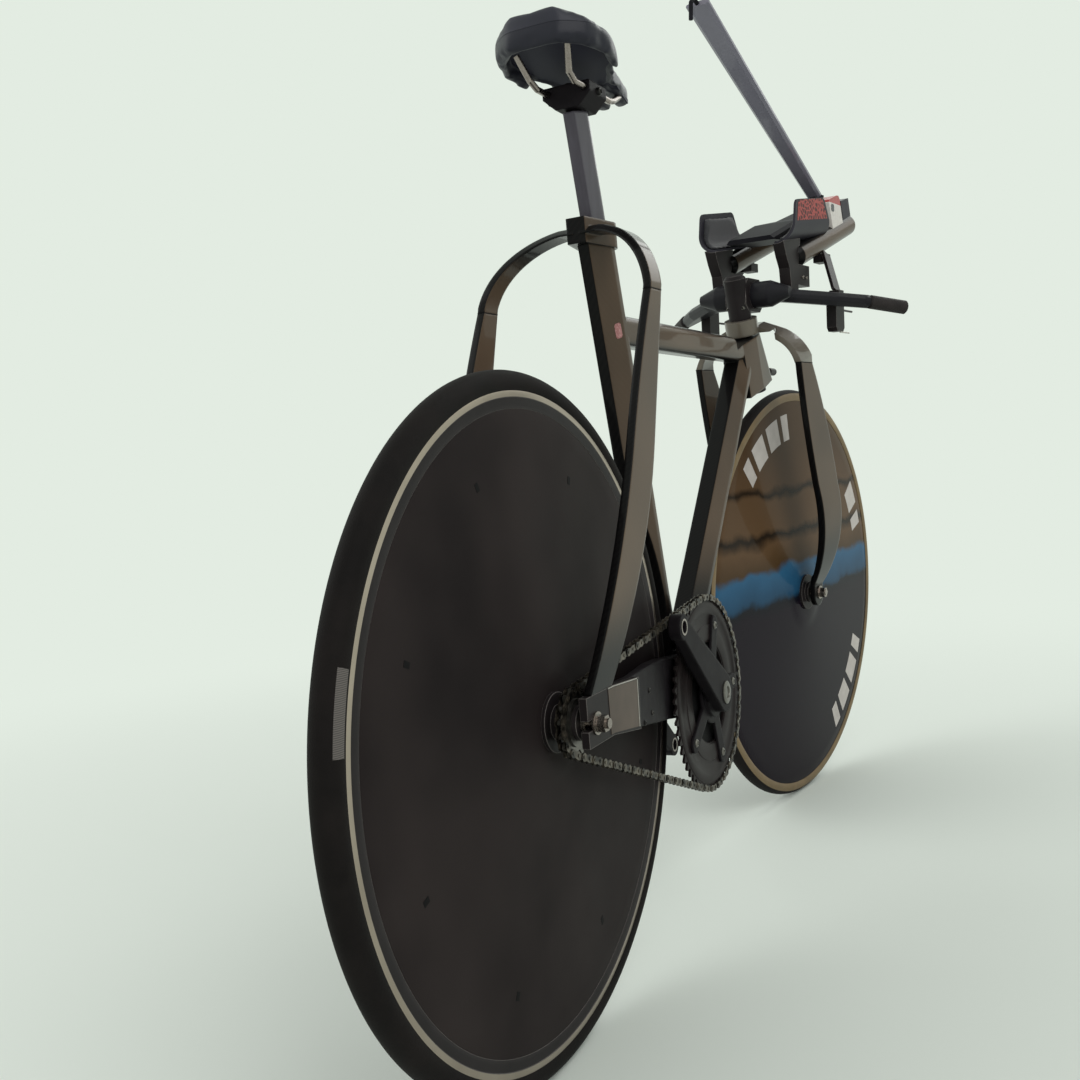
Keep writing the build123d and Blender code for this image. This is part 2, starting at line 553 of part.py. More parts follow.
def chain_route(offset):
    """Closed loop round the cog and the ring, offset outwards from the pins' line."""
    span = (BRACKET - REAR_HUB)
    distance = span.length
    slope = math.atan2(span.Z, span.X)
    wrap = math.asin((RING_PITCH_RADIUS - COG_PITCH_RADIUS) / distance)
    cog, ring = COG_PITCH_RADIUS + offset, RING_PITCH_RADIUS + offset
    up, down = slope + wrap + math.pi / 2, slope - wrap - math.pi / 2

    def on(centre, radius, angle):
        return (centre.X + radius * math.cos(angle), centre.Z + radius * math.sin(angle))

    a, b = on(REAR_HUB, cog, up), on(BRACKET, ring, up)
    c, d = on(BRACKET, ring, down), on(REAR_HUB, cog, down)
    front = on(BRACKET, ring, slope)
    back = on(REAR_HUB, cog, slope + math.pi)
    return Curve() + [Line(a, b), ThreePointArc(b, front, c), Line(c, d), ThreePointArc(d, back, a)]


def chain_rows():
    """Two rows of plates with a gap for the teeth, joined by pins on the runs."""
    path = Wire(chain_route(0).edges())
    links = 2 * round(path.length / PITCH / 2)
    outline, inline = [], []
    for k in range(links):
        at = path.position_at(k / links)
        along = path.tangent_at(k / links)
        outward = Vector(-along.Y, along.X)
        half = (PLATE_HEIGHT if k % 2 == 0 else PLATE_WAIST) / 2
        outline.append(at + outward * half)
        inline.append(at - outward * half)
    band = make_face(Polyline(*outline, close=True)) - make_face(Polyline(*inline, close=True))
    if band.area < 1:
        band = make_face(Polyline(*inline, close=True)) - make_face(Polyline(*outline, close=True))
    inner = CHAINLINE - CHAIN_GAP / 2 - PLATE_THICKNESS
    rows = [Plane.XZ.offset(inner) * extrude(band, PLATE_THICKNESS),
            Plane.XZ.offset(inner + PLATE_THICKNESS + CHAIN_GAP) * extrude(band, PLATE_THICKNESS)]
    rollers = []
    for k in range(links):
        at = path.position_at(k / links)
        clear_cog = math.hypot(at.X - REAR_HUB.X, at.Y - REAR_HUB.Z) > COG_PITCH_RADIUS + 12
        clear_ring = math.hypot(at.X - BRACKET.X, at.Y - BRACKET.Z) > RING_PITCH_RADIUS + 12
        if clear_cog and clear_ring and k % 4 == 0:
            pin = extrude(RegularPolygon(PIN_RADIUS, 6), CHAIN_GAP + 1)
            rollers.append(Pos(at.X, -CHAINLINE + CHAIN_GAP / 2 + 0.5, at.Y) * Rot(90, 0, 0) * pin)
    return rows[0] + rows[1] + rollers


FRAME_PARTS["chain"] = chain_rows()

PEDAL_EYE = 15.0
ARM_BOSS = 24.0


def crank_arm(turn):
    """Left-hand arm lying along the given angle, with a threaded pedal eye."""
    beam = make_face(Polyline((0, -ARM_BOSS), (0, ARM_BOSS), (CRANK_LENGTH, 0.8 * PEDAL_EYE),
                              (CRANK_LENGTH, -0.8 * PEDAL_EYE), close=True))
    outline = beam + Circle(ARM_BOSS) + Pos(CRANK_LENGTH, 0) * Circle(PEDAL_EYE)
    arm = Plane.XZ.offset(-CRANK_INNER - CRANK_THICKNESS) * extrude(outline, CRANK_THICKNESS)
    arm -= Pos(CRANK_LENGTH, 0, 0) * ring_about_y(0, PEDAL_THREAD_RADIUS, 0, 90)
    arm -= ring_about_y(0, SPINDLE_RADIUS, 0, 90)
    return Pos(*BRACKET) * Rot(0, -turn, 0) * arm


def spider():
    """Five-armed carrier that holds the chainring, behind the right arm."""
    arm = Pos(45, 0) * SlotOverall(104, 20)
    arms = [Plane.XZ * (Rot(0, 0, CRANK_ANGLE + k * 72) * arm) for k in range(5)]
    flat = Plane.XZ * (Circle(38) - Circle(SPINDLE_RADIUS))
    plate = extrude(flat, 4.0) + [extrude(a, 4.0) for a in arms]
    plate -= ring_about_y(0, SPINDLE_RADIUS, -50, 50)
    plate = Pos(0, -CHAINLINE - TOOTH_THICKNESS / 2, 0) * plate
    boss = ring_about_y(SPINDLE_RADIUS, 30, -CRANK_INNER, -CHAINLINE - TOOTH_THICKNESS / 2 - 3.9)
    return Pos(*BRACKET) * (plate + boss)


FRAME_PARTS["crank_left"] = crank_arm(CRANK_ANGLE + 180)
FRAME_PARTS["crank_right"] = mirrored(crank_arm(CRANK_ANGLE)) + spider()
ring = toothed_disc(RING_TEETH, 62, TOOTH_THICKNESS)
FRAME_PARTS["chainring"] = Pos(*BRACKET) * Pos(0, -CHAINLINE, 0) * ring
FRAME_PARTS["crank_spindle"] = Pos(*BRACKET) * ring_about_y(
    0, SPINDLE_RADIUS, -CRANK_INNER - CRANK_THICKNESS, CRANK_INNER + CRANK_THICKNESS)


# ---- front wheel, fork and bars, all built with the steering straight ----
front = {
    "front_tyre": wheel_tyre(FRONT_RADIUS, FRONT_TYRE),
    "front_disc": disc(FRONT_SEAT, FRONT_RIM_HALF, FRONT_DISC_HUB_HALF),
    "front_hub": hub(FRONT_AXLE_WIDTH, FRONT_DISC_HUB_HALF),
    "front_axle": axle(FRONT_AXLE_WIDTH, FRONT_FACE + 12),
}
for name, piece in front.items():
    STEERED_PARTS[name] = Pos(*FRONT_HUB) * piece
STEERED_PARTS["front_axle_nuts"] = Compound([Pos(*FRONT_HUB) * n for n in axle_nuts(FRONT_FACE)])

CROWN_LOW = HEAD_HIGH + 3.0
CROWN_HIGH = CROWN_LOW + 24.0
STEM_RADIUS = 17.0
STEM_HEIGHT = 67.0
CLAMP_LENGTH = 60.0
CLAMP_WIDTH = 34.0
STEERER_TOP = CROWN_HIGH + STEM_HEIGHT - 10


def along_steer(radius, low, high, bore=0.0):
    """Tube on the steering axis between two distances from its foot."""
    ring = Circle(radius) - Circle(bore) if bore else Circle(radius)
    return Plane(steer_point(low), z_dir=STEER_UP) * extrude(ring, high - low)


STEERED_PARTS["steerer"] = along_steer(STEERER_RADIUS, HEAD_LOW - 6, STEERER_TOP)
STEERED_PARTS["headset_cap"] = along_steer(22, HEAD_LOW - 6, HEAD_LOW - 1, STEERER_RADIUS)

FORK_OUTER = FORK_SPREAD + BLADE_THICKNESS / 2
FORK_INNER = FORK_SPREAD - BLADE_THICKNESS / 2
FORK_SEAM = FRONT_HUB.Z + 373.0
SEAM_X = FRONT_HUB.X - 158.0  # rear edge of the blades at the seam
BLADE_DEPTH = 43.0
ARCH_RISE = 10.0  # top of the crown's arch above the crown race


def crown_arms():
    """Arch of the crown: out over the tyre on both sides and down to the seams."""
    over, under = CROWN_LOW + ARCH_RISE, CROWN_LOW + 1
    outline = Curve() + [
        Line((FORK_OUTER, over - 82), (FORK_OUTER, over - 60)),
        ThreePointArc((FORK_OUTER, over - 60), (FORK_OUTER - 15, over - 33), (54, over - 15)),
        Line((54, over - 15), (22, over)), Line((22, over), (4, over)), Line((4, over), (4, under)),
        Line((4, under), (26, under - 1)), Line((26, under - 1), (50, under - 14)),
        ThreePointArc((50, under - 14), (FORK_INNER - 11, under - 30), (FORK_INNER, under - 54)),
        Line((FORK_INNER, under - 54), (FORK_INNER, over - 82)),
        Line((FORK_INNER, over - 82), (FORK_OUTER, over - 82))]
    plane = Plane(STEER_FOOT, x_dir=(0, 1, 0), z_dir=STEER_FORWARD)
    arch = extrude(plane * make_face(outline), 300, both=True)
    back_low, front_low = (SEAM_X, FORK_SEAM), (SEAM_X + BLADE_DEPTH, FORK_SEAM)
    back_high, front_high = (SEAM_X - 20, FORK_SEAM + 73), (SEAM_X + 15, FORK_SEAM + 73)
    side = Curve() + [
        Line(back_low, front_low),
        ThreePointArc(front_low, (SEAM_X + 37, FORK_SEAM + 34), front_high),
        Line(front_high, back_high),
        ThreePointArc(back_high, (SEAM_X - 4, FORK_SEAM + 34), back_low)]
    left = arch & extrude(Plane.XZ * make_face(side), WHEELBASE, both=True)
    return left + mirrored(left)


crown = along_steer(25, CROWN_LOW, CROWN_HIGH) + crown_arms()
crown -= along_steer(STEERER_RADIUS, CROWN_LOW - 40, CROWN_HIGH + 40)
crown -= along_steer(50, CROWN_LOW - 40, CROWN_LOW)
STEERED_PARTS["fork_crown"] = crown


def fork_blade():
    """Left wide blade from the crown's seam down to the front dropout."""
    inner_face, foot, bend = FRONT_AXLE_WIDTH / 2, FRONT_HUB.Z + 14, FORK_SEAM - 191
    front = Curve() + [
        Line((FORK_INNER, FORK_SEAM), (FORK_OUTER, FORK_SEAM)),
        Line((FORK_OUTER, FORK_SEAM), (FORK_OUTER, bend)),
        ThreePointArc((FORK_OUTER, bend), (FORK_OUTER - 11, foot + 70), (FRONT_FACE, foot)),
        Line((FRONT_FACE, foot), (inner_face, foot)),
        ThreePointArc((inner_face, foot), (FORK_INNER - 12, foot + 70), (FORK_INNER, bend)),
        Line((FORK_INNER, bend), (FORK_INNER, FORK_SEAM))]
    back, ahead = FRONT_HUB.X - 20, FRONT_HUB.X + 16
    side = Curve() + [
        Line((back, foot), (ahead, foot)),
        ThreePointArc((ahead, foot), (FRONT_HUB.X - 13, foot + 145), (SEAM_X + BLADE_DEPTH, FORK_SEAM)),
        Line((SEAM_X + BLADE_DEPTH, FORK_SEAM), (SEAM_X, FORK_SEAM)),
        ThreePointArc((SEAM_X, FORK_SEAM), (FRONT_HUB.X - 92, foot + 145), (back, foot))]
    tab = Plane.XZ.offset(-FRONT_FACE) * extrude(
        Pos(FRONT_HUB.X - 2, FRONT_HUB.Z + 4) * Rot(0, 0, 90) * SlotOverall(52, 34), DROPOUT_THICKNESS)
    hole = Pos(*FRONT_HUB) * ring_about_y(0, AXLE_RADIUS + 0.1, 30, 90)
    return strip(front, side) + tab - hole


STEERED_PARTS["fork_blade_left"] = fork_blade()
STEERED_PARTS["fork_blade_right"] = mirrored(fork_blade())


def bar_point(y):
    """Middle of the base bar at a distance from the middle plane."""
    share = abs(y) / BAR_SPREAD
    return Vector(BAR_X + BAR_REACH * share ** 1.5, y, BAR_Z - BAR_DROP * share ** 2)


def horn_line(y_start, y_end):
    """Start, direction and length of the straight tip between two distances from the middle."""
    start, end = bar_point(y_start), bar_point(y_end)
    return start, (end - start).normalized(), (end - start).length


def wing():
    """Left wing, flat and swept forward, cut from a plate that droops to the tip."""
    drop = bar_point(BAR_MIDDLE).Z - bar_point(GRIP_START).Z
    droop = math.degrees(math.atan2(drop, GRIP_START - BAR_MIDDLE))
    stations = [(BAR_MIDDLE - 12, 25), (BAR_MIDDLE + 34, 23), (GRIP_START - 30, 21), (GRIP_START, 15)]
    front = [(bar_point(y).X + half, y - BAR_MIDDLE) for y, half in stations]
    back = [(bar_point(y).X - half, y - BAR_MIDDLE) for y, half in reversed(stations)]
    plate = extrude(make_face(Polyline(*front, *back, close=True)), WING_THICKNESS / 2, both=True)
    rims = [e for e in plate.edges() if abs(abs(e.center().Z) - WING_THICKNESS / 2) < 0.01
            and 0 < e.center().Y + 8 < GRIP_START - BAR_MIDDLE + 7]
    plate = chamfer(rims, 0.34 * WING_THICKNESS)
    return Pos(0, BAR_MIDDLE, bar_point(BAR_MIDDLE).Z) * Rot(-droop, 0, 0) * plate


def base_bar():
    """Bullhorn bar: round in the stem, flat wings, round horns at the tips."""
    start, along, length = horn_line(GRIP_START, BAR_SPREAD)
    horn = Plane(start - along * 12, z_dir=along) * extrude(Circle(HORN_RADIUS), length + 8)
    half = wing() + horn
    tip = BAR_MIDDLE + BAR_SHOULDER
    profile = [(0, tip), (0.4 * BAR_RADIUS, tip), (BAR_RADIUS, BAR_MIDDLE)]
    middle = Pos(BAR_X, 0, BAR_Z) * spin(profile + [(r, -y) for r, y in reversed(profile)])
    return middle + half + mirrored(half)


BAR = base_bar()
BARE_STEERER = STEERED_PARTS["steerer"]
column = along_steer(STEM_RADIUS, CROWN_HIGH, CROWN_HIGH + STEM_HEIGHT)
column = chamfer(column.edges().group_by(Axis.Z)[-1], 5)
clamp_block = Pos(BAR_X - 3, 0, BAR_Z) * Box(CLAMP_LENGTH, CLAMP_WIDTH, 2 * BAR_RADIUS + 10)
clamp_block = chamfer(clamp_block.edges().filter_by(Axis.Y), 10)
stem = column + clamp_block
stem -= along_steer(STEERER_RADIUS, CROWN_HIGH - 30, STEERER_TOP)
stem -= along_steer(90, CROWN_LOW - 20, CROWN_HIGH)
STEERED_PARTS["stem"] = stem - BAR
STEERED_PARTS["base_bar"] = max((BAR - BARE_STEERER).solids(), key=lambda s: s.volume)


def grip():
    """Left rubber sleeve, closed at its end, over the horn."""
    start, along, length = horn_line(GRIP_START, BAR_SPREAD)
    body = Plane(start, z_dir=along) * extrude(Circle(GRIP_RADIUS), length)
    body = chamfer(body.edges(), 2)
    inside = Plane(start - along * 12, z_dir=along) * extrude(Circle(HORN_RADIUS), length + 8)
    return body - inside - wing()


STEERED_PARTS["grip_left"] = grip()
STEERED_PARTS["grip_right"] = mirrored(grip())

ARM_START = Vector(BAR_X + ARM_AHEAD, ARM_SPREAD, BAR_Z + ARM_RISE)
ARM_ALONG = Vector(math.cos(math.radians(ARM_TILT)), 0, math.sin(math.radians(ARM_TILT)))
ARM_UP = Vector(-ARM_ALONG.Z, 0, ARM_ALONG.X)


def arm_place(along, up=0.0):
    """Point beside an extension's middle line, by distances along and above it."""
    return ARM_START + ARM_ALONG * along + ARM_UP * up


def side_face(points):
    """Upright face in the bike's middle plane from points along and above an extension."""
    corners = [arm_place(along, up) for along, up in points]
    return Plane.XZ * make_face(Polyline(*[(p.X, p.Z) for p in corners], close=True))


def extension():
    """Left forearm tube with a domed front end."""
    tube = Plane(ARM_START, x_dir=(0, 1, 0), z_dir=ARM_ALONG) * extrude(Circle(ARM_RADIUS), ARM_LENGTH)
    return chamfer(tube.edges().filter_by(GeomType.CIRCLE), 0.4 * ARM_RADIUS)


CUP_START = arm_place(-43.5, 32.0)  # rear end of the cups' lowest line
CUP_ALONG = Vector(math.cos(math.radians(CUP_TILT)), 0, math.sin(math.radians(CUP_TILT)))
CUP_LEAN = 10.0  # how far the rounded bottom comes up on the inner side, in degrees
CUP_REAR_TOP, CUP_FRONT_TOP = 20.0, 26.0  # how far the wall's upper corners are drawn in
CUP_CORNER = 13.0


def cup_plane(along):
    """Plane across a cup, with its origin in the middle of the rounded bottom's arc."""
    middle = CUP_START + CUP_ALONG * along + Vector(-CUP_ALONG.Z, 0, CUP_ALONG.X) * CUP_RADIUS
    return Plane(middle + Vector(0, CUP_SIDE - CUP_RADIUS, 0), x_dir=(0, 1, 0), z_dir=CUP_ALONG)


def trough(outer, inner, lean, height):
    """Face of a cup's wall between two radii: a rounded bottom and an upright outer side."""
    turn = math.radians(lean)
    start_out, start_in = [(-r * math.sin(turn), -r * math.cos(turn)) for r in (outer, inner)]
    middle_out, middle_in = [(r * math.sin(math.pi / 6), -r * math.cos(math.pi / 6)) for r in (outer, inner)]
    edges = [ThreePointArc(start_out, middle_out, (outer, 0)), Line((outer, 0), (outer, height)),
             Line((outer, height), (inner, height)), Line((inner, height), (inner, 0)),
             ThreePointArc((inner, 0), middle_in, start_in), Line(start_in, start_out)]
    return make_face(Curve() + edges)


def cup_outline(inset=0.0):
    """Side outline of a cup: its upper corners are drawn in and rounded."""
    low, high = -CUP_RADIUS + inset - 1, CUP_HEIGHT - CUP_RADIUS - inset
    points = [(inset, low), (CUP_REAR_TOP + inset, high), (CUP_LENGTH - CUP_FRONT_TOP - inset, high),
              (CUP_LENGTH - inset, low)]
    aside = Plane(cup_plane(0).origin, x_dir=CUP_ALONG, z_dir=(0, -1, 0))
    body = extrude(aside * make_face(Polyline(*points, close=True)), 2 * CUP_RADIUS, both=True)
    rows = body.edges().filter_by(Axis.Y).group_by(Axis.Z)
    return fillet(rows[-1] + rows[-2], CUP_CORNER - 0.4 * inset)


def arm_cup():
    """Left elbow cup: a rounded trough with a high outer wall."""
    face = trough(CUP_RADIUS, CUP_RADIUS - CUP_WALL, CUP_LEAN, CUP_HEIGHT - CUP_RADIUS)
    return (cup_plane(0) * extrude(face, CUP_LENGTH)) & cup_outline()


def arm_pad():
    """Left foam pad that lines the cup."""
    outer = CUP_RADIUS - CUP_WALL
    face = trough(outer, outer - PAD_THICKNESS, CUP_LEAN - 4, CUP_HEIGHT - CUP_RADIUS)
    return (cup_plane(0) * extrude(face, CUP_LENGTH)) & cup_outline(6.0)


EXTENSION = extension()
CUP = arm_cup()
STEERED_PARTS["extension_left"] = EXTENSION
STEERED_PARTS["arm_cup_left"] = CUP - EXTENSION
STEERED_PARTS["arm_pad_left"] = arm_pad() - EXTENSION
for name in ("extension", "arm_cup", "arm_pad"):
    STEERED_PARTS[name + "_right"] = mirrored(STEERED_PARTS[name + "_left"])


def under_cup():
    """All the room that a cup's rounded bottom takes, for pieces that seat below it."""
    above = Pos(0, CUP_RADIUS) * Rectangle(2 * CUP_RADIUS, 2 * CUP_RADIUS)
    return cup_plane(-30) * extrude(Circle(CUP_RADIUS) + above, CUP_LENGTH + 60)


def riser():
    """Left riser: a waisted upright from the wing to the cup, and the extension's clamp block."""
    foot, top = BAR_Z - 2, BAR_Z + 110
    upright = make_face(Polyline((BAR_X + 28, foot), (BAR_X + 54, foot), (BAR_X + 54, BAR_Z + 42),
                                 (BAR_X + 64, BAR_Z + 78), (BAR_X + 68, top), (BAR_X + 2, top),
                                 (BAR_X, BAR_Z + 76), (BAR_X + 10, BAR_Z + 56), (BAR_X + 22, BAR_Z + 38),
                                 close=True))
    block = Pos(BAR_X + 76, BAR_Z + 31) * Rectangle(46, 32)
    side = extrude(Plane.XZ * (upright + block), RISER_WIDTH / 2, both=True)
    body = Pos(0, ARM_SPREAD, 0) * side - under_cup() - BAR - EXTENSION
    return max(body.solids(), key=lambda s: s.volume)


RISER = riser()
STEERED_PARTS["risers"] = Compound([RISER, mirrored(RISER)])

BOTTLE_HALF = ARM_SPREAD - ARM_RADIUS - 0.1
BOTTLE_FRONT = ARM_LENGTH + 18.0


def bottle():
    """Wedge-shaped drinks bottle with a pointed tail, held between the extensions."""
    side = side_face([(-22, 43), (82, 45), (114, 41), (170, 34), (BOTTLE_FRONT, 32), (BOTTLE_FRONT, -12),
                      (185, -12), (150, 6), (68, 13), (-22, 36)])
    body = extrude(side, BOTTLE_HALF, both=True)
    top = [e for e in body.edges() if abs(e.center().Y) > BOTTLE_HALF - 1
           and abs((e % 0).dot(ARM_ALONG)) > 0.5 and (e.center() - ARM_START).dot(ARM_UP) > 30]
    return chamfer(top, 5)


BRACE_SPREAD = 108.0  # middle of the clamps on the wings
BRACE_TOP = Vector(BAR_X + 160, 70, BAR_Z + 72)
BRACE_THICKNESS = 16.0
BRACE_BLADE = 5.0
PIN_REACH = 55.0


def brace():
    """Left brace: a clamp under the wing, a thin blade and a bracket under the extension."""
    low = BAR_Z - 59
    side = make_face(Polyline((BAR_X + 79, low), (BAR_X + 113, low), (BAR_X + 113, BAR_Z + 5),
                              (BAR_X + 93, BAR_Z + 5), (BAR_X + 93, BAR_Z - 12), (BAR_X + 79, BAR_Z - 12),
                              close=True))
    clamp = extrude(Plane.XZ * side, BRACE_THICKNESS / 2, both=True)
    clamp = Pos(0, BRACE_SPREAD, 0) * chamfer(clamp.edges().filter_by(Axis.Y).group_by(Axis.Z)[0], 6)
    foot = Vector(BAR_X + 103, BRACE_SPREAD, BAR_Z + 3)
    rise = BRACE_TOP - foot
    along = Plane(foot, x_dir=(1, 0, 0), z_dir=rise.normalized())
    blade = along * extrude(Rectangle(20, BRACE_BLADE), rise.length)
    pins = [Pos(BAR_X + 113, BRACE_SPREAD, z) * Rot(0, 90, 0) * extrude(RegularPolygon(1.8, 6), PIN_REACH)
            for z in (low + 4, low + 35)]
    bracket = Pos(BRACE_TOP.X, (ARM_SPREAD + BRACE_TOP.Y) / 2, BRACE_TOP.Z - 7) * Box(
        26, BRACE_TOP.Y - ARM_SPREAD + 6, 14)
    body = blade + clamp + pins + bracket - EXTENSION - BAR
    return max(body.solids(), key=lambda s: s.volume)


STEERED_PARTS["brace_left"] = brace()
STEERED_PARTS["brace_right"] = mirrored(brace())
STEERED_PARTS["bottle"] = bottle()

POD_HALF = 13.0


def front_pod():
    """Hand pod that stands on the front of the right extension, with its clamp block."""
    pod = extrude(side_face([(150, 0), (198, 0), (198, 55), (190, 59), (148, 59)]), POD_HALF, both=True)
    pod = Pos(0, -ARM_SPREAD, 0) * chamfer(pod.edges().filter_by(Axis.Y), 4)
    return pod - mirrored(EXTENSION) - STEERED_PARTS["bottle"]


def pod_block():
    """Small block clamped on the end of the right extension."""
    block = extrude(side_face([(210, 0), (246, 0), (246, 44), (210, 46)]), 10, both=True)
    return Pos(0, -ARM_SPREAD, 0) * block - mirrored(EXTENSION) - STEERED_PARTS["bottle"]


STEERED_PARTS["hand_pod"] = max(front_pod().solids(), key=lambda s: s.volume)
STEERED_PARTS["pod_block"] = max(pod_block().solids(), key=lambda s: s.volume)

STRAW_LOW = arm_place(BOTTLE_FRONT + 6, 42) - Vector(0, ARM_SPREAD + 3, 0)
STRAW_RISE = Vector(-438, 0, 219)


def straw():
    """Flat tapered drinking straw that rises back towards the rider."""
    faces = []
    for at, wide, deep in ((STRAW_LOW, 12.0, 6), (STRAW_LOW + STRAW_RISE, 18.0, 4.5)):
        plane = Plane(at, x_dir=(0, 1, 0), z_dir=STRAW_RISE.normalized())
        half = [(wide, -0.4 * deep), (wide, 0.4 * deep), (0.7 * wide, deep), (-0.7 * wide, deep)]
        faces.append(plane * make_face(Polyline(*half, *[(-x, -y) for x, y in half], close=True)))
    return loft(faces, ruled=True)


SOCKET_RADIUS = 14.0
socket = Pos(STRAW_LOW.X - 10, STRAW_LOW.Y, STRAW_LOW.Z - 20) * Cylinder(SOCKET_RADIUS, 56)
socket -= STEERED_PARTS["bottle"]
STEERED_PARTS["straw_socket"] = max(socket.solids(), key=lambda s: s.center().Z)
tube = straw() - STEERED_PARTS["straw_socket"]
STEERED_PARTS["straw"] = max(tube.solids(), key=lambda s: s.volume)
straw_end = STRAW_LOW + STRAW_RISE
mouth_path = Polyline(straw_end, straw_end + Vector(-12, 0, 4), straw_end + Vector(-20, 0, -4),
                      straw_end + Vector(-22, 0, -28))
mouth = sweep(Plane(mouth_path @ 0, z_dir=mouth_path % 0) * RegularPolygon(3.2, 8), path=mouth_path,
              transition=Transition.RIGHT)
STEERED_PARTS["mouthpiece"] = mouth - STEERED_PARTS["straw"]

# ---- lever at the front of the head ----
LEVER_Z = 705.0
LEVER_SIDE = -8.0
lever_start = steer_x(LEVER_Z) + 20
lever_rod = Pos(lever_start, LEVER_SIDE, LEVER_Z) * Rot(0, 90, 0) * extrude(Circle(3.0), 60)
FRAME_PARTS["head_lever"] = max((lever_rod - FRAME_PARTS["frame_shell"]).solids(), key=lambda s: s.center().X)
knob = Pos(lever_start + 60.1, LEVER_SIDE, LEVER_Z) * Rot(0, 90, 0) * extrude(Circle(6.0), 34)
FRAME_PARTS["lever_knob"] = chamfer(knob.edges(), 2)

# ---- turn the steered pieces to rest, move all to the rider's frame, write ----
for name, piece in STEERED_PARTS.items():
    FRAME_PARTS[name] = piece.rotate(STEER_AXIS, PARKED_STEER)

os.makedirs("parts", exist_ok=True)
for name, piece in FRAME_PARTS.items():
    solids = [TO_RIDER * solid for solid in piece.solids()]
    export_step(solids[0] if len(solids) == 1 else Compound(solids), f"parts/{name}.step")
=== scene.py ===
import json
import math

import bmesh
import bpy
from mathutils import Matrix, Vector


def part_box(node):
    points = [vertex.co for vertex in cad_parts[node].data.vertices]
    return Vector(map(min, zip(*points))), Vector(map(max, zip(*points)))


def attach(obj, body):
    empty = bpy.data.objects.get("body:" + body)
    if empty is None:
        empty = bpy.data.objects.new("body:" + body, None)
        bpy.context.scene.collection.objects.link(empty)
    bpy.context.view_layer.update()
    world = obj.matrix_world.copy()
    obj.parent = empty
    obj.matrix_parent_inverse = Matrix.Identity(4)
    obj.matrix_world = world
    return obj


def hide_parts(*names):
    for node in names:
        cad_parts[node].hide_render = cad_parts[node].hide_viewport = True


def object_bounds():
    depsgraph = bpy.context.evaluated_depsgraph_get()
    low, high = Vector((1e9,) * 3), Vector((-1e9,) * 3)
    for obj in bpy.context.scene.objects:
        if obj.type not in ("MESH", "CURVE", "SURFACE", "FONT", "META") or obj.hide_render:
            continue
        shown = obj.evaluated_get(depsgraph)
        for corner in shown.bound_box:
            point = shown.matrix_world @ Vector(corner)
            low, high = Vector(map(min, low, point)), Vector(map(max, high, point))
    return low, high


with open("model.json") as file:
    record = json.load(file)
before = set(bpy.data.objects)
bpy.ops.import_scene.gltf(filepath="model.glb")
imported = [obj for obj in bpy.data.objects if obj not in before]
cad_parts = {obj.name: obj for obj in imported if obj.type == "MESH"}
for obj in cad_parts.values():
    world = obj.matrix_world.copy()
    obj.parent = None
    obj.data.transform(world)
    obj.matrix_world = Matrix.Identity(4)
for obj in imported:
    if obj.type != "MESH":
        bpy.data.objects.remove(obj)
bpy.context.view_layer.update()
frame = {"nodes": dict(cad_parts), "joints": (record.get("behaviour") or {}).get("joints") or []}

# The room: a pale matt floor that melts into a pale wall far behind, and a
# camera low behind the bike on its drive side. Big soft lamps and an even pale
# sky light it, as in a studio.


def linear(code):
    """One sRGB hex colour as linear red, green, blue and alpha."""
    values = [int(code[i:i + 2], 16) / 255 for i in (1, 3, 5)]
    return [v / 12.92 if v <= 0.04045 else ((v + 0.055) / 1.055) ** 2.4 for v in values] + [1.0]


def feed(node, links):
    """A node's inputs, by name or number: each linked to a node or a socket, or set."""
    for name, value in links.items():
        if isinstance(value, bpy.types.Node):
            value = next(socket for socket in value.outputs if socket.enabled)
        if isinstance(value, bpy.types.NodeSocket):
            node.id_data.links.new(value, node.inputs[name])
        else:
            node.inputs[name].default_value = value


def add(tree, kind, links=None, **settings):
    """One shader node, with its settings by name and its inputs linked or set."""
    node = tree.nodes.new("ShaderNode" + kind)
    for name, value in settings.items():
        setattr(node, name, value)
    feed(node, links or {})
    return node


def stand(name, data):
    """A new object with its data, put in the scene."""
    thing = bpy.data.objects.new(name, data)
    bpy.context.scene.collection.objects.link(thing)
    return thing


PALE = "#E3ECE2"
camera_place = Vector((-1.22172, -0.53399, -0.45356))
yaw, pitch, roll = math.radians(26.816), math.radians(-3.512), math.radians(-4.864)
ahead = Vector((math.cos(pitch) * math.cos(yaw), math.cos(pitch) * math.sin(yaw), math.sin(pitch)))
level = Vector((math.sin(yaw), -math.cos(yaw), 0.0))
overhead = level.cross(ahead)
aside = math.cos(roll) * level + math.sin(roll) * overhead
upright = -math.sin(roll) * level + math.cos(roll) * overhead
turned = Matrix((aside, upright, -ahead)).transposed().to_4x4()
camera_data = bpy.data.cameras.new("studio_camera")
SENSOR, FOCAL, WIDTH = 36.0, 1192.78, 1080
camera_data.sensor_width = SENSOR
camera_data.lens = SENSOR * FOCAL / WIDTH
camera_data.clip_end = 200.0
camera = stand("studio_camera", camera_data)
camera.matrix_world = Matrix.Translation(camera_place) @ turned
bpy.context.scene.camera = camera
bpy.context.scene.view_settings.view_transform = "Standard"

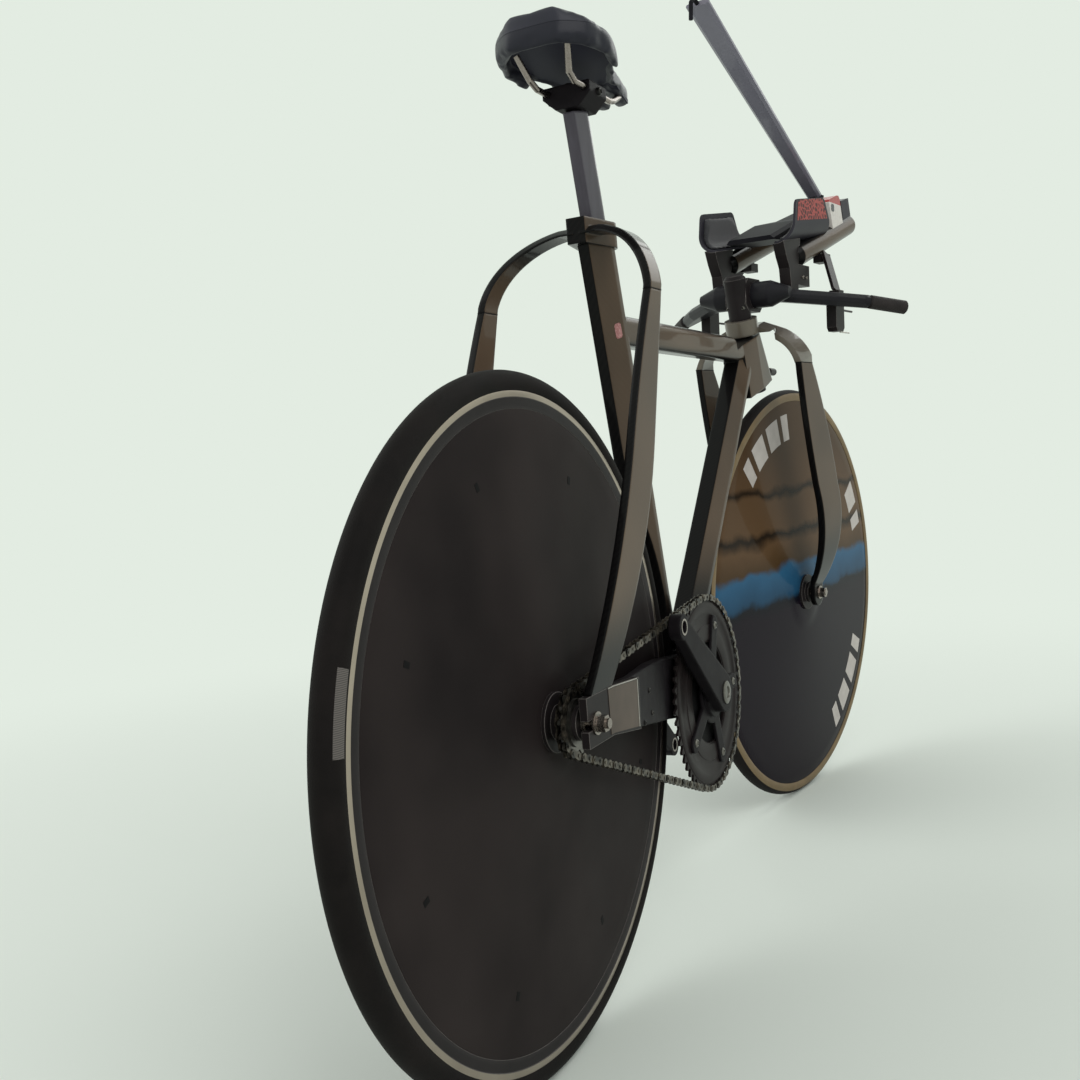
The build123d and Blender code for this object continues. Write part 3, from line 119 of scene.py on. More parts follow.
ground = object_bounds()[0][2]
floor_mesh = bpy.data.meshes.new("floor")
FLOOR_RADIUS, FLOOR_GAP = 60, 0.0005
rim = [(FLOOR_RADIUS * math.cos(2 * math.pi * k / 64), FLOOR_RADIUS * math.sin(2 * math.pi * k / 64),
        ground - FLOOR_GAP) for k in range(64)]
floor_mesh.from_pydata(rim, [], [list(range(64))])
floor = stand("floor", floor_mesh)
paint = bpy.data.materials.new("pale_floor_paint")
paint.use_nodes = True
tree = paint.node_tree
matt = tree.nodes["Principled BSDF"]
feed(matt, {"Base Color": linear(PALE), "Roughness": 0.95, "Specular IOR Level": 0.0})
where = add(tree, "NewGeometry").outputs["Position"]
reach = add(tree, "VectorMath", {0: where}, operation="LENGTH")
far = add(tree, "MapRange", {"Value": reach, "From Min": 1.1, "From Max": 3.2},
          interpolation_type="SMOOTHERSTEP")
backdrop = add(tree, "Emission", {"Color": linear(PALE), "Strength": 1.0})
melted = add(tree, "MixShader", {0: far, 1: matt.outputs[0], 2: backdrop})
feed(tree.nodes["Material Output"], {"Surface": melted})
floor_mesh.materials.append(paint)

world = bpy.data.worlds.new("studio_sky")
bpy.context.scene.world = world
world.use_nodes = True
tree = world.node_tree
tree.nodes.clear()
rays = add(tree, "LightPath")
bounced = add(tree, "Math", {0: rays.outputs["Is Glossy Ray"], 1: rays.outputs["Is Transmission Ray"]},
              operation="MAXIMUM")
seen = add(tree, "Math", {0: rays.outputs["Is Camera Ray"], 1: bounced}, operation="MAXIMUM")
lit = add(tree, "Background", {"Color": linear("#FFFFFF"), "Strength": 0.6})
shown = add(tree, "Background", {"Color": linear(PALE), "Strength": 1.0})
both = add(tree, "MixShader", {0: seen, 1: lit, 2: shown})
add(tree, "OutputWorld", {"Surface": both})

bike_middle = Vector((0.2, 0, -0.4))
for name, place, size, power in (("lamp_key", (-1.8, -2.6, 2.0), 2.4, 46.0),
                                 ("lamp_fill", (-1.0, 2.8, 1.6), 2.6, 26.0),
                                 ("lamp_ahead", (3.2, -0.6, 1.8), 2.4, 26.0)):
    lamp_data = bpy.data.lights.new(name, "AREA")
    lamp_data.size = size
    lamp_data.energy = power
    lamp = stand(name, lamp_data)
    lamp.location = place
    lamp.rotation_euler = (bike_middle - Vector(place)).to_track_quat("-Z", "Y").to_euler()

# The frame: one hollow shell of carbon fibre in epoxy, moulded in halves that
# are bonded along the middle, sanded, and sprayed with a thick clear lacquer.
# The small badge place on each side of its seat tube is plain red foil.


def finish(name):
    """A new node material, with its tree, its main shader and the place on the piece."""
    material = bpy.data.materials.new(name)
    material.use_nodes = True
    tree = material.node_tree
    return material, tree, tree.nodes["Principled BSDF"], add(tree, "TexCoord").outputs["Object"]


def dress(material, *nodes):
    """Give CAD nodes their finish through the material slots they have."""
    for name in nodes:
        for slot in frame["nodes"][name].material_slots:
            slot.material = material


def made(name, shapes, material, body, sharp=35):
    """A piece from shapes of points in metres and faces: dressed, smooth up to an angle, riding on a body."""
    points, faces = [], []
    for more_points, more_faces in shapes:
        faces += [tuple(len(points) + k for k in face) for face in more_faces]
        points += [tuple(point) for point in more_points]
    mesh = bpy.data.meshes.new(name)
    mesh.from_pydata(points, [], faces)
    whole = bmesh.new()
    whole.from_mesh(mesh)
    bmesh.ops.remove_doubles(whole, verts=whole.verts, dist=1e-6)
    bmesh.ops.recalc_face_normals(whole, faces=whole.faces)
    whole.to_mesh(mesh)
    whole.free()
    mesh.shade_smooth()
    mesh.set_sharp_from_angle(angle=math.radians(sharp))
    mesh.materials.append(material)
    piece = stand(name, mesh)
    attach(piece, body)
    return piece


joints = {joint["name"]: joint for joint in frame["joints"]}
rear_hub = Vector(joints["rear_wheel_spin"]["pos_m"])


def at(x, y, z):
    """Point from millimetres ahead of the rear axle, left of the middle, above the ground."""
    return Vector((rear_hub.x + x / 1000, y / 1000, ground + z / 1000))


# Clear lacquer over bare fibre: near black, with a wet, sharp gloss. A warm
# brown reflection is painted into the colour on the flanks that face the sides,
# patchy, and fading out towards the lower ends, which stay black. The tows are
# 3 mm wide.
lacquered_carbon, tree, shader, spot = finish("lacquered_carbon")
facing = add(tree, "NewGeometry").outputs["Normal"]
parts = add(tree, "SeparateXYZ", {0: facing})
flank = add(tree, "Math", {0: parts.outputs["Y"]}, operation="ABSOLUTE")
broad = add(tree, "MapRange", {"Value": flank, "From Min": 0.55, "From Max": 0.98},
            interpolation_type="SMOOTHSTEP")
cloud = add(tree, "TexNoise", {"Vector": spot, "Scale": 6.0, "Detail": 2.0})
uneven = add(tree, "MapRange", {"Value": cloud, "From Min": 0.3, "From Max": 0.7, "To Min": 0.55,
                                "To Max": 1.0})
patchy_flank_reflection = add(tree, "Math", {0: broad, 1: uneven}, operation="MULTIPLY")
# heights where the painted reflection fades out towards the lower ends
FADE_LOW, FADE_TOP = ground + 0.385, ground + 0.47
heights = add(tree, "SeparateXYZ", {0: spot})
above = add(tree, "MapRange", {"Value": heights.outputs["Z"], "From Min": FADE_LOW, "From Max": FADE_TOP},
            interpolation_type="SMOOTHSTEP")
painted_flank_reflection = add(tree, "Math", {0: patchy_flank_reflection, 1: above}, operation="MULTIPLY")
tows = add(tree, "TexWave", {"Vector": spot, "Scale": 78.0, "Distortion": 1.5, "Detail": 2.0,
                             "Detail Scale": 2.0}, bands_direction="DIAGONAL")
weft = add(tree, "MapRange", {"Value": tows.outputs["Fac"], "To Min": 0.0, "To Max": 0.015})
# painted reflection: warm brown mixed into the black on the side-facing flanks
flank_reflection_colour = add(tree, "Mix", {"Factor": painted_flank_reflection, 6: linear("#0C0B0C"), 7: linear("#5A4A3B")}, data_type="RGBA")
woven = add(tree, "Mix", {"Factor": weft, 6: flank_reflection_colour, 7: linear("#6B645C")}, data_type="RGBA", blend_type="ADD")
rounded = add(tree, "Bevel", {"Radius": 0.004}, samples=6)
peel = add(tree, "TexNoise", {"Vector": spot, "Scale": 260.0, "Detail": 1.0})
skin = add(tree, "Bump", {"Height": peel, "Strength": 0.03, "Distance": 0.0004, "Normal": rounded})
feed(shader, {"Base Color": woven, "Roughness": 0.32, "Specular IOR Level": 0.05, "Coat Weight": 0.5,
              "Coat Roughness": 0.04, "Coat IOR": 1.2, "Coat Normal": skin, "Normal": rounded})
dress(lacquered_carbon, "frame_shell")


def plate(centre, normal, up, width, height, thick):
    """A small flat plate with cut corners on a surface: its middle, facing and size in mm."""
    normal, up = Vector(normal).normalized(), Vector(up)
    up = (up - normal * up.dot(normal)).normalized()
    side, cut = normal.cross(up), 0.18 * min(width, height)
    half, tall = width / 2, height / 2
    outline = [(half - cut, -tall), (half, cut - tall), (half, tall - cut), (half - cut, tall),
               (cut - half, tall), (-half, tall - cut), (-half, cut - tall), (cut - half, -tall)]
    points = [centre + (side * x + up * z + normal * lift) / 1000
              for lift in (-0.3, thick) for x, z in outline]
    faces = [tuple(range(8)), tuple(range(15, 7, -1))]
    return points, faces + [(k, (k + 1) % 8, 8 + (k + 1) % 8, 8 + k) for k in range(8)]


# Red foil: a thin printed film under clear lacquer, mottled in 2.4 mm patches.
red_foil, tree, shader, spot = finish("red_foil_under_lacquer")
blotch = add(tree, "TexVoronoi", {"Vector": spot, "Scale": 420.0})
foil = add(tree, "Mix", {"Factor": blotch, 6: linear("#8A4B4B"), 7: linear("#B98F8C")}, data_type="RGBA")
feed(shader, {"Base Color": foil, "Roughness": 0.4, "Specular IOR Level": 0.15})
badges = [plate(at(263.5, side * 14.0, 729.5), (-0.26, side * 0.96, -0.06), (-0.25, 0, 0.97), 12, 17, 0.3)
          for side in (1, -1)]
made("seat_tube_badge_ground", badges, red_foil, "frame")

# The yoke and the stays: carbon arms that arch out from the seat tube, clear of
# the wheel, and run down to the axle. Each is bonded to the next along a lap
# joint, and two domed steel screws clamp the seat post from behind.


def spun(profile, centre, axis, steps):
    """Points and faces of a closed outline of (radius, along) in mm, turned round an axis."""
    along = Vector(axis).normalized()
    out = along.cross(Vector((0, 0, 1)) if abs(along.z) < 0.9 else Vector((1, 0, 0))).normalized()
    points, faces, count = [], [], len(profile)
    for step in range(steps):
        arm = Matrix.Rotation(2 * math.pi * step / steps, 3, along) @ out
        points += [centre + arm * (r / 1000) + along * (y / 1000) for r, y in profile]
        for k in range(count):
            here, there = step * count, (step + 1) % steps * count
            faces.append((here + k, here + (k + 1) % count, there + (k + 1) % count, there + k))
    return points, faces


def screw(centre, axis, radius, height):
    """Domed screw head with a round drive recess, standing on a surface."""
    outline = [(0.01, -0.5), (radius, -0.5), (radius, 0.35 * height), (0.8 * radius, 0.85 * height),
               (0.5 * radius, height), (0.42 * radius, 0.25 * height), (0.01, 0.25 * height)]
    return spun(outline, centre, axis, 16)


def two_shades(spot, dark, light, scale, detail, rough=0.5, start=0.0, end=1.0):
    """A noise over the piece, and the colour it gives between two shades of one finish."""
    tree = spot.id_data
    noise = add(tree, "TexNoise", {"Vector": spot, "Scale": scale, "Detail": detail, "Roughness": rough})
    share = add(tree, "MapRange", {"Value": noise, "From Min": start, "From Max": end})
    return noise, add(tree, "Mix", {"Factor": share, 6: linear(dark), 7: linear(light)}, data_type="RGBA")


def mottled(name, dark, light, scale, detail, sockets, start=0.0, end=1.0):
    """A new finish that only wanders between two shades, with the shader's sockets set."""
    material, _, shader, spot = finish(name)
    _, colour = two_shades(spot, dark, light, scale, detail, start=start, end=end)
    feed(shader, {"Base Color": colour, **sockets})
    return material


dress(lacquered_carbon, "stay_yoke", "seatstay_left", "seatstay_right")

# Matt epoxy over carbon: the chain stays are rubbed down and left dull, so they
# stay near black, with a cloudy violet-brown cast and faint scuffs.
matt_carbon, tree, shader, spot = finish("rubbed_matt_carbon")
scuffs, dusk = two_shades(spot, "#0D0B0E", "#231F22", 45.0, 6.0, 0.65)
uneven_matt = add(tree, "MapRange", {"Value": scuffs, "To Min": 0.35, "To Max": 0.6})
turned_edge = add(tree, "Bevel", {"Radius": 0.004}, samples=6)
feed(shader, {"Base Color": dusk, "Roughness": uneven_matt, "Specular IOR Level": 0.06,
              "Normal": turned_edge})
dress(matt_carbon, "chainstay_left", "chainstay_right")

# Black-oxidised steel: heated and quenched in oil, so it is a soft grey-black
# with a low sheen, a little lighter where a key has rubbed it.
black_steel = mottled("black_oxide_steel", "#1E1D1E", "#4A4744", 240.0, 3.0,
                      {"Metallic": 0.9, "Roughness": 0.42}, start=0.35, end=0.75)

heads = [screw(at(208, y, 838), (-0.97, 0, 0.22), 3.2, 2.0) for y in (-7, 7)]
for side in (1, -1):
    heads += [screw(at(x, 36 * side, z), (0, side, 0), 3.4, 2.4)
              for x, z in ((352, 322), (356, 290), (366, 270))]
    heads += [screw(at(x, y * side, z), (0.13, 0.99 * side, 0), 3.0, 1.6)
              for x, y, z in ((150, 54.9, 304), (184, 50.4, 307), (178, 51.2, 333))]
made("frame_screws", heads, black_steel, "frame")

# The seams: where two bonded pieces meet, a hair-wide groove is filled with
# black epoxy and rubbed flush. It is drawn 1 mm wide so that it shows.
epoxy, tree, shader, spot = finish("black_epoxy_seam")
specks, dots = two_shades(spot, "#0B0B0C", "#1A191A", 900.0, 2.0)
dull = add(tree, "MapRange", {"Value": specks, "To Min": 0.4, "To Max": 0.7})
feed(shader, {"Base Color": dots, "Roughness": dull, "Specular IOR Level": 0.05})


def band(low, high, turn=Matrix.Identity(4)):
    """A thin strip round an upright box section: the seam of two bonded pieces."""
    corners = [(low.x, low.y), (high.x, low.y), (high.x, high.y), (low.x, high.y)]
    points = [turn @ Vector((x, y, z)) for z in (low.z, high.z) for x, y in corners]
    faces = [(k, (k + 1) % 4, 4 + (k + 1) % 4, 4 + k) for k in range(4)] + [(0, 1, 2, 3), (4, 5, 6, 7)]
    return points, faces


STAY_SIDE, LAP_HEIGHT, HALF_SEAM = 97, 755, 0.5
seams = [band(at(145.8, y - 4.5, LAP_HEIGHT - HALF_SEAM), at(176.2, y + 4.5, LAP_HEIGHT + HALF_SEAM))
         for y in (STAY_SIDE, -STAY_SIDE)]
made("frame_seams", seams, epoxy, "frame")

# The dropouts: 8 mm aluminium plates, machined, then bead-blasted and anodised
# black. The axle slides in their slots to set the chain's tension.

# Hard-anodised aluminium: a dyed oxide film on a blasted surface. Soft charcoal
# grey with a broad, dull highlight and edges rubbed bright. The blasted grain is
# 0.1 mm wide, and is drawn 0.7 mm wide so that it shows.
anodised, tree, shader, spot = finish("black_anodised_aluminium")
grain = add(tree, "TexNoise", {"Vector": spot, "Scale": 1400.0, "Detail": 2.0})
_, charcoal = two_shades(spot, "#171415", "#2A2526", 30.0, 3.0)
broken = add(tree, "Bevel", {"Radius": 0.0012}, samples=6)
level_with = add(tree, "VectorMath", {0: broken, 1: add(tree, "NewGeometry").outputs["True Normal"]},
                 operation="DOT_PRODUCT")
rubbed = add(tree, "MapRange", {"Value": level_with, "From Min": 0.995, "From Max": 0.86, "To Max": 0.75})
edged = add(tree, "Mix", {"Factor": rubbed, 6: charcoal, 7: linear("#8C8682")}, data_type="RGBA")
blasted = add(tree, "Bump", {"Height": grain, "Strength": 0.12, "Distance": 0.0003, "Normal": broken})
feed(shader, {"Base Color": edged, "Roughness": 0.4, "Specular IOR Level": 0.1, "Normal": blasted})
dress(anodised, "dropout_left", "dropout_right", "bracket_cups")


def slab(outline, low, high):
    """A flat panel: an outline of (ahead, up) in mm, from one height left of the middle to another."""
    count = len(outline)
    points = [at(x, y, z) for y in (low, high) for x, z in outline]
    faces = [tuple(range(count)), tuple(range(2 * count - 1, count - 1, -1))]
    return points, faces + [(k, (k + 1) % count, count + (k + 1) % count, count + k) for k in range(count)]


# Bronze-anodised aluminium: milled flat in strokes 1.5 mm apart, with a warm
# brown film that is paler where the tool cut last.
bronze_plate, tree, shader, spot = finish("bronze_anodised_plate")
strokes = add(tree, "TexWave", {"Vector": spot, "Scale": 210.0, "Distortion": 0.8, "Detail": 1.0},
              bands_direction="Z")
_, film_brown = two_shades(spot, "#2C2520", "#64544A", 22.0, 3.0)
milled = add(tree, "Bump", {"Height": strokes.outputs["Fac"], "Strength": 0.1, "Distance": 0.0002})
feed(shader, {"Base Color": film_brown, "Metallic": 0.5, "Roughness": 0.34, "Specular IOR Level": 0.2,
              "Normal": milled})
PLATE_FACE, COVER_FACE, EDGE_FACE = 67.9, 68.5, 68.7
cover = [(32, 364), (44, 364), (105, 359.6), (102.5, 312), (42, 320), (32, 320)]
covers = [slab(cover, *sorted((side * PLATE_FACE, side * COVER_FACE))) for side in (1, -1)]
made("dropout_covers", covers, bronze_plate, "frame")

# Bright-cut edges: the last pass of the cutter leaves the plate's top and front
# chamfers bare, so they catch the light as thin bright lines.
bright_edge = mottled("bright_cut_aluminium", "#8B8682", "#C9C4BE", 300.0, 3.0,
                      {"Metallic": 1.0, "Roughness": 0.3})
front_edge = [(105, 359.8), (106.6, 359.7), (104.1, 311.5), (102.5, 311.8)]
top_edge = [(44, 365.6), (105, 361.2), (105, 360.2), (44, 364.6), (32, 364.6), (32, 365.6)]
edges = [slab(edge, *sorted((side * PLATE_FACE, side * EDGE_FACE)))
         for side in (1, -1) for edge in (front_edge, top_edge)]
made("dropout_bright_edges", edges, bright_edge, "frame")

# The seat post: a carbon aero tube, moulded on a bladder and lacquered. Its
# flanks are polished brighter than the frame's.

# Polished lacquer over fine carbon: a cool grey-black with a sharp, wet gloss.
polished_post, tree, shader, spot = finish("polished_carbon_post")
streaks = add(tree, "Mapping", {"Vector": spot, "Scale": (40.0, 40.0, 4.0)})
runs = add(tree, "TexNoise", {"Vector": streaks, "Scale": 3.0, "Detail": 2.0})
steel_grey = add(tree, "Mix", {"Factor": runs, 6: linear("#36333A"), 7: linear("#504C55")}, data_type="RGBA")
soft_edge = add(tree, "Bevel", {"Radius": 0.005}, samples=6)
feed(shader, {"Base Color": steel_grey, "Roughness": 0.28, "Specular IOR Level": 0.1, "Coat Weight": 1.0,
              "Coat Roughness": 0.03, "Coat IOR": 1.25, "Coat Normal": soft_edge, "Normal": soft_edge})
dress(polished_post, "seat_post")

# The saddle's rails and clamp: 7 mm steel tube, bent, plated and polished, held
# between two cradles of moulded carbon, rubbed matt, by two cross bolts and two
# from above.

# Satin chrome: nickel and chrome plate over brushed steel, bright, slightly warm.
satin_chrome, tree, shader, spot = finish("satin_chrome")
brush, plating = two_shades(spot, "#756B65", "#A59C96", 500.0, 2.0)
smear = add(tree, "MapRange", {"Value": brush, "To Min": 0.18, "To Max": 0.34})
feed(shader, {"Base Color": plating, "Metallic": 1.0, "Roughness": smear})
dress(satin_chrome, "saddle_rails")
dress(matt_carbon, "saddle_clamp")
clamp_low, clamp_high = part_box("saddle_clamp")
middle = (clamp_low + clamp_high) / 2
bolts = [screw(Vector((middle.x, y, middle.z + 0.004)), (0, side, 0), 4.6, 4.0)
         for side, y in ((1, clamp_high.y), (-1, clamp_low.y))]
bolts += [screw(Vector((x, 0, clamp_high.z)), (0, 0, 1), 3.4, 3.0)
          for x in (clamp_low.x + 0.008, clamp_high.x - 0.008)]
made("saddle_clamp_bolts", bolts, black_steel, "frame")

# The saddle: a moulded nylon shell, with foam bonded on it under a smooth
# microfibre cover that is pulled round the edge and glued. It is padded and
# split along the nose.

# Glass-filled nylon: injection moulded, blue-black, with a fine spark texture
# that is drawn 0.9 mm wide so that it shows.
nylon, tree, shader, spot = finish("moulded_nylon")
spark, tint = two_shades(spot, "#20202A", "#302F3A", 1100.0, 2.0)
moulded = add(tree, "Bump", {"Height": spark, "Strength": 0.15, "Distance": 0.0003})
feed(shader, {"Base Color": tint, "Roughness": 0.45, "Specular IOR Level": 0.06, "Normal": moulded})
dress(nylon, "saddle_base")


def cushion(node, name, material, body, voxel, pressure, cap, draw_in):
    """A pad's foam: the CAD solid drawn in a little, remeshed, swollen as cloth, capped and smoothed."""
    mesh = frame["nodes"][node].data.copy()
    mesh.name = name
    mesh.materials.clear()
    mesh.materials.append(material)
    piece = stand(name, mesh)
    bpy.context.view_layer.objects.active = piece
    low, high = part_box(node)
    centre = (low + high) / 2
    for point in mesh.vertices:
        point.co = centre + (point.co - centre) * (1 - draw_in)

    def apply(kind, **settings):
        """Run one modifier with its settings and keep its result."""
        modifier = piece.modifiers.new(kind, kind)
        for setting, value in settings.items():
            setattr(modifier, setting, value)
        bpy.ops.object.modifier_apply(modifier=kind)

    apply("REMESH", mode="VOXEL", voxel_size=voxel, use_smooth_shade=True)
    apply("SMOOTH", iterations=14, factor=0.5)
    before = [point.co.copy() for point in mesh.vertices]
    cloth = piece.modifiers.new("cloth", "CLOTH")
    cloth.settings.use_pressure = True
    cloth.settings.uniform_pressure_force = pressure
    cloth.settings.effector_weights.gravity = 0.0
    for step in range(1, 21):
        bpy.context.scene.frame_set(step)
    swollen = piece.evaluated_get(bpy.context.evaluated_depsgraph_get())
    after = [point.co.copy() for point in swollen.data.vertices]
    piece.modifiers.remove(cloth)
    bpy.context.scene.frame_set(1)
    for point, start, end in zip(mesh.vertices, before, after):
        push = end - start
        point.co = start + push * min(1.0, cap / max(push.length, 1e-9))
    for point in mesh.vertices:
        point.co = [min(max(point.co[k], low[k]), high[k]) for k in range(3)]
    apply("SUBSURF", levels=1, render_levels=1)
    piece.data.shade_smooth()
    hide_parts(node)
    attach(piece, body)


# Microfibre cover: a knitted backing with a smooth polyurethane face. Blue-black,
# nearly smooth, with pebbles 0.8 mm wide and a soft satin sheen. Below a sewn line
# round the edge the skirt is darker and steps in by 0.8 mm.
microfibre, tree, shader, spot = finish("microfibre_cover")
pebbles = add(tree, "TexVoronoi", {"Vector": spot, "Scale": 1250.0})
folds, cloth_blue = two_shades(spot, "#1B1B21", "#3A3A45", 22.0, 3.0)
pad_low, pad_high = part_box("saddle_pad")
levels = add(tree, "SeparateXYZ", {0: spot})
SKIRT_DROP, SKIRT_SLOPE = 0.0165, 0.05
fallen = add(tree, "Math", {0: levels.outputs["X"], 1: SKIRT_SLOPE, 2: levels.outputs["Z"]},
             operation="MULTIPLY_ADD")
seam_at = pad_high.z - SKIRT_DROP + SKIRT_SLOPE * pad_low.x
under = add(tree, "MapRange", {"Value": fallen, "From Min": seam_at, "From Max": seam_at - 0.0006})
skirt = add(tree, "Mix", {"Factor": under, 6: cloth_blue, 7: linear("#22222B")}, data_type="RGBA")
pebbled = add(tree, "Bump", {"Height": pebbles, "Strength": 0.25, "Distance": 0.0004})
creased = add(tree, "Bump", {"Height": folds, "Strength": 0.3, "Distance": 0.002, "Normal": pebbled})
stepped = add(tree, "Bump", {"Height": under, "Strength": 1.0, "Distance": 0.0008, "Normal": creased},
              invert=True)
feed(shader, {"Base Color": skirt, "Roughness": 0.36, "Specular IOR Level": 0.2, "Sheen Weight": 0.05,
              "Normal": stepped})
cushion("saddle_pad", "saddle_cushion", microfibre, "frame", voxel=0.0036, pressure=4.0, cap=0.004,
        draw_in=0.02)

# The headset, the crown and the blades. The crown is cast aluminium, sprayed
# grey; the carbon blades are bonded on its arms, and the wheel's nuts close them.

# The turn about the steering axis that takes pieces drawn straight ahead to rest.
front_hub = Vector(joints["front_wheel_spin"]["pos_m"])
front_axle = Vector(joints["front_wheel_spin"]["axis"]).normalized()
head_axis, head = Vector(joints["steering"]["axis"]).normalized(), Vector(joints["steering"]["pos_m"])
level_axle = Vector((0, 1, 0))
steered = math.atan2(head_axis.dot(level_axle.cross(front_axle)), level_axle.dot(front_axle))
rest = Matrix.Translation(head) @ Matrix.Rotation(steered, 4, head_axis) @ Matrix.Translation(-head)
dress(lacquered_carbon, "fork_blade_left", "fork_blade_right")

# Gloss grey spray paint on cast aluminium: level, hard, with a faint orange peel
# 2 mm across and a sharp highlight; dust makes it a little uneven.
grey_paint, tree, shader, spot = finish("gloss_grey_paint")
_, sprayed = two_shades(spot, "#4C473F", "#756D61", 25.0, 4.0)
worn_corner = add(tree, "Bevel", {"Radius": 0.004}, samples=6)
ripple = add(tree, "TexNoise", {"Vector": spot, "Scale": 500.0, "Detail": 1.0})
peeled = add(tree, "Bump", {"Height": ripple, "Strength": 0.04, "Distance": 0.0004, "Normal": worn_corner})
feed(shader, {"Base Color": sprayed, "Roughness": 0.3, "Specular IOR Level": 0.15, "Coat Weight": 1.0,
              "Coat Roughness": 0.06, "Coat IOR": 1.3, "Normal": peeled})
dress(grey_paint, "fork_crown")
dress(anodised, "headset_cap", "lever_knob", "steerer")
dress(satin_chrome, "head_lever")
BLADE_SIDE, BLADE_TOP = 84, 711
fork_seams = [band(at(811.7, y - 5.3, BLADE_TOP - HALF_SEAM), at(855.3, y + 5.3, BLADE_TOP + HALF_SEAM), rest)
              for y in (BLADE_SIDE, -BLADE_SIDE)]
made("fork_seams", fork_seams, epoxy, "steering")

# The rear tyre: a 28 mm tubular, cotton casing under black rubber, glued round
# the rim. Its tread is smooth but for a fine file pattern, worn a little grey.
wheels = {"rear": (rear_hub, Vector((0, 1, 0))), "front": (front_hub, front_axle)}


def wheel_ring(end, part, outline, finishes, steps, banded=None):
    """A piece turned round one wheel's axle, in its second finish where a test of radius and side holds."""
    hub, axle = wheels[end]
    piece = made(end + "_wheel_" + part, [spun(outline, hub, axle, steps)], finishes[0], end + "_wheel",
                 sharp=30)
    if banded:
        piece.data.materials.append(finishes[1])
        for face in piece.data.polygons:
            away = face.center - hub
            side = away.dot(axle)
            face.material_index = banded((away - axle * side).length * 1000, side * 1000)
    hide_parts(end + "_" + part)


def tyre_outline(seat, outer, half):
    """Round tyre section from one rim edge over the tread to the other, closed along the rim."""
    middle, points = outer - half, []
    start = math.asin((seat - middle) / half)
    for k in range(25):
        turn = start + (math.pi - 2 * start) * k / 24
        points.append((middle + half * math.sin(turn), half * math.cos(turn)))
    return points


# Tread rubber: natural rubber with soot, cured in a steel mould. Matt black with
# a brown cast, a fine file pattern of 1.4 mm diamonds, and dusty high spots.
tread, tree, shader, spot = finish("black_tread_rubber")
file_cut = add(tree, "TexVoronoi", {"Vector": spot, "Scale": 700.0}, distance="CHEBYCHEV")
dusty, soot = two_shades(spot, "#0F0D0D", "#201C1B", 18.0, 5.0, 0.6, 0.3, 0.8)
dull = add(tree, "MapRange", {"Value": dusty, "To Min": 0.55, "To Max": 0.8})
cut = add(tree, "Bump", {"Height": file_cut, "Strength": 0.35, "Distance": 0.0005})
feed(shader, {"Base Color": soot, "Roughness": dull, "Specular IOR Level": 0.08, "Normal": cut})

# Bare label: a rubberised cloth patch vulcanised on the side wall, dusty grey,
# its threads drawn 1.6 mm apart so that they show.
label_cloth, tree, shader, spot = finish("rubberised_label_cloth")
threads = add(tree, "TexWave", {"Vector": spot, "Scale": 200.0, "Distortion": 0.6}, bands_direction="Z")
cloth_grey = add(tree, "Mix", {"Factor": threads.outputs["Fac"], 6: linear("#3F3B39"), 7: linear("#67615D")},
                 data_type="RGBA")
feed(shader, {"Base Color": cloth_grey, "Roughness": 0.7})

TYRE_SEAT, TYRE_OUTER, TYRE_HALF = 318, 338.8, 14.0
wheel_ring("rear", "tyre", tyre_outline(TYRE_SEAT, TYRE_OUTER, TYRE_HALF), [tread], 220)


def patch(end, start, stop, low, high, thick, steps, shape):
    """A thin raised strip on a wheel, between two angles and two radii, at the height a shape gives."""
    hub, axle = wheels[end]
    forward = axle.cross(Vector((0, 0, 1)))
    points, faces = [], []
    for k in range(steps + 1):
        turn = math.radians(start + (stop - start) * k / steps)
        out = forward * math.cos(turn) + Vector((0, 0, 1)) * math.sin(turn)
        out = (out - axle * out.dot(axle)).normalized()
        for radius in (low, high):
            height = shape(radius)
            for lift in (0.0, math.copysign(thick, height)):
                points.append(hub + (out * radius + axle * (height + lift)) / 1000)
        if k:
            a, b = 4 * (k - 1), 4 * k
            faces += [(a, a + 1, b + 1, b), (a + 1, a + 3, b + 3, b + 1), (a + 3, a + 2, b + 2, b + 3),
                      (a + 2, a, b, b + 2)]
    last = 4 * steps
    return points, faces + [(0, 1, 3, 2), (last, last + 1, last + 3, last + 2)]


def tyre_side(radius):
    """Right-hand side of the rear tyre at a radius."""
    return 0.1 - math.sqrt(TYRE_HALF ** 2 - (radius - TYRE_OUTER + TYRE_HALF) ** 2)


label = [patch("rear", 160.2, 171.6, low, low + 2.4, 0.35, 16, tyre_side)
         for low in (322.4, 324.6, 326.8, 329.0, 330.4)]
made("rear_tyre_label", label, label_cloth, "rear_wheel")

# The rear rim: an aluminium hoop bonded round the carbon disc's edge. Its brake
# track is turned bright in a 6 mm band, and is black anodised below that.

# Turned aluminium: cut with a fine tool, so rings 0.2 mm apart spread the light
# into a soft streak; slightly warm and dulled by brake dust.
turned_metal = mottled("turned_aluminium", "#8E8276", "#BFB2A4", 14.0, 4.0,
                       {"Metallic": 1.0, "Roughness": 0.32, "Anisotropic": 0.4})


def both_sides(side):
    """A wheel's section from its left side: the same points again, mirrored, in reverse."""
    return side + [(radius, -height) for radius, height in reversed(side)]


rim_side = [(318.0, 12.2), (317.6, 12.4), (312.4, 12.4), (312.0, 11.9), (302.0, 11.9), (301.0, 11.6)]
wheel_ring("rear", "rim", both_sides(rim_side), [anodised, turned_metal], 200,
           lambda radius, side: 312.2 < radius < 317.9 and abs(side) > 12.0)

# The rear disc: two carbon skins on a foam core, lens-shaped and thickest at the
# hub. The skins are left satin, and eight spring clips show as small notches.

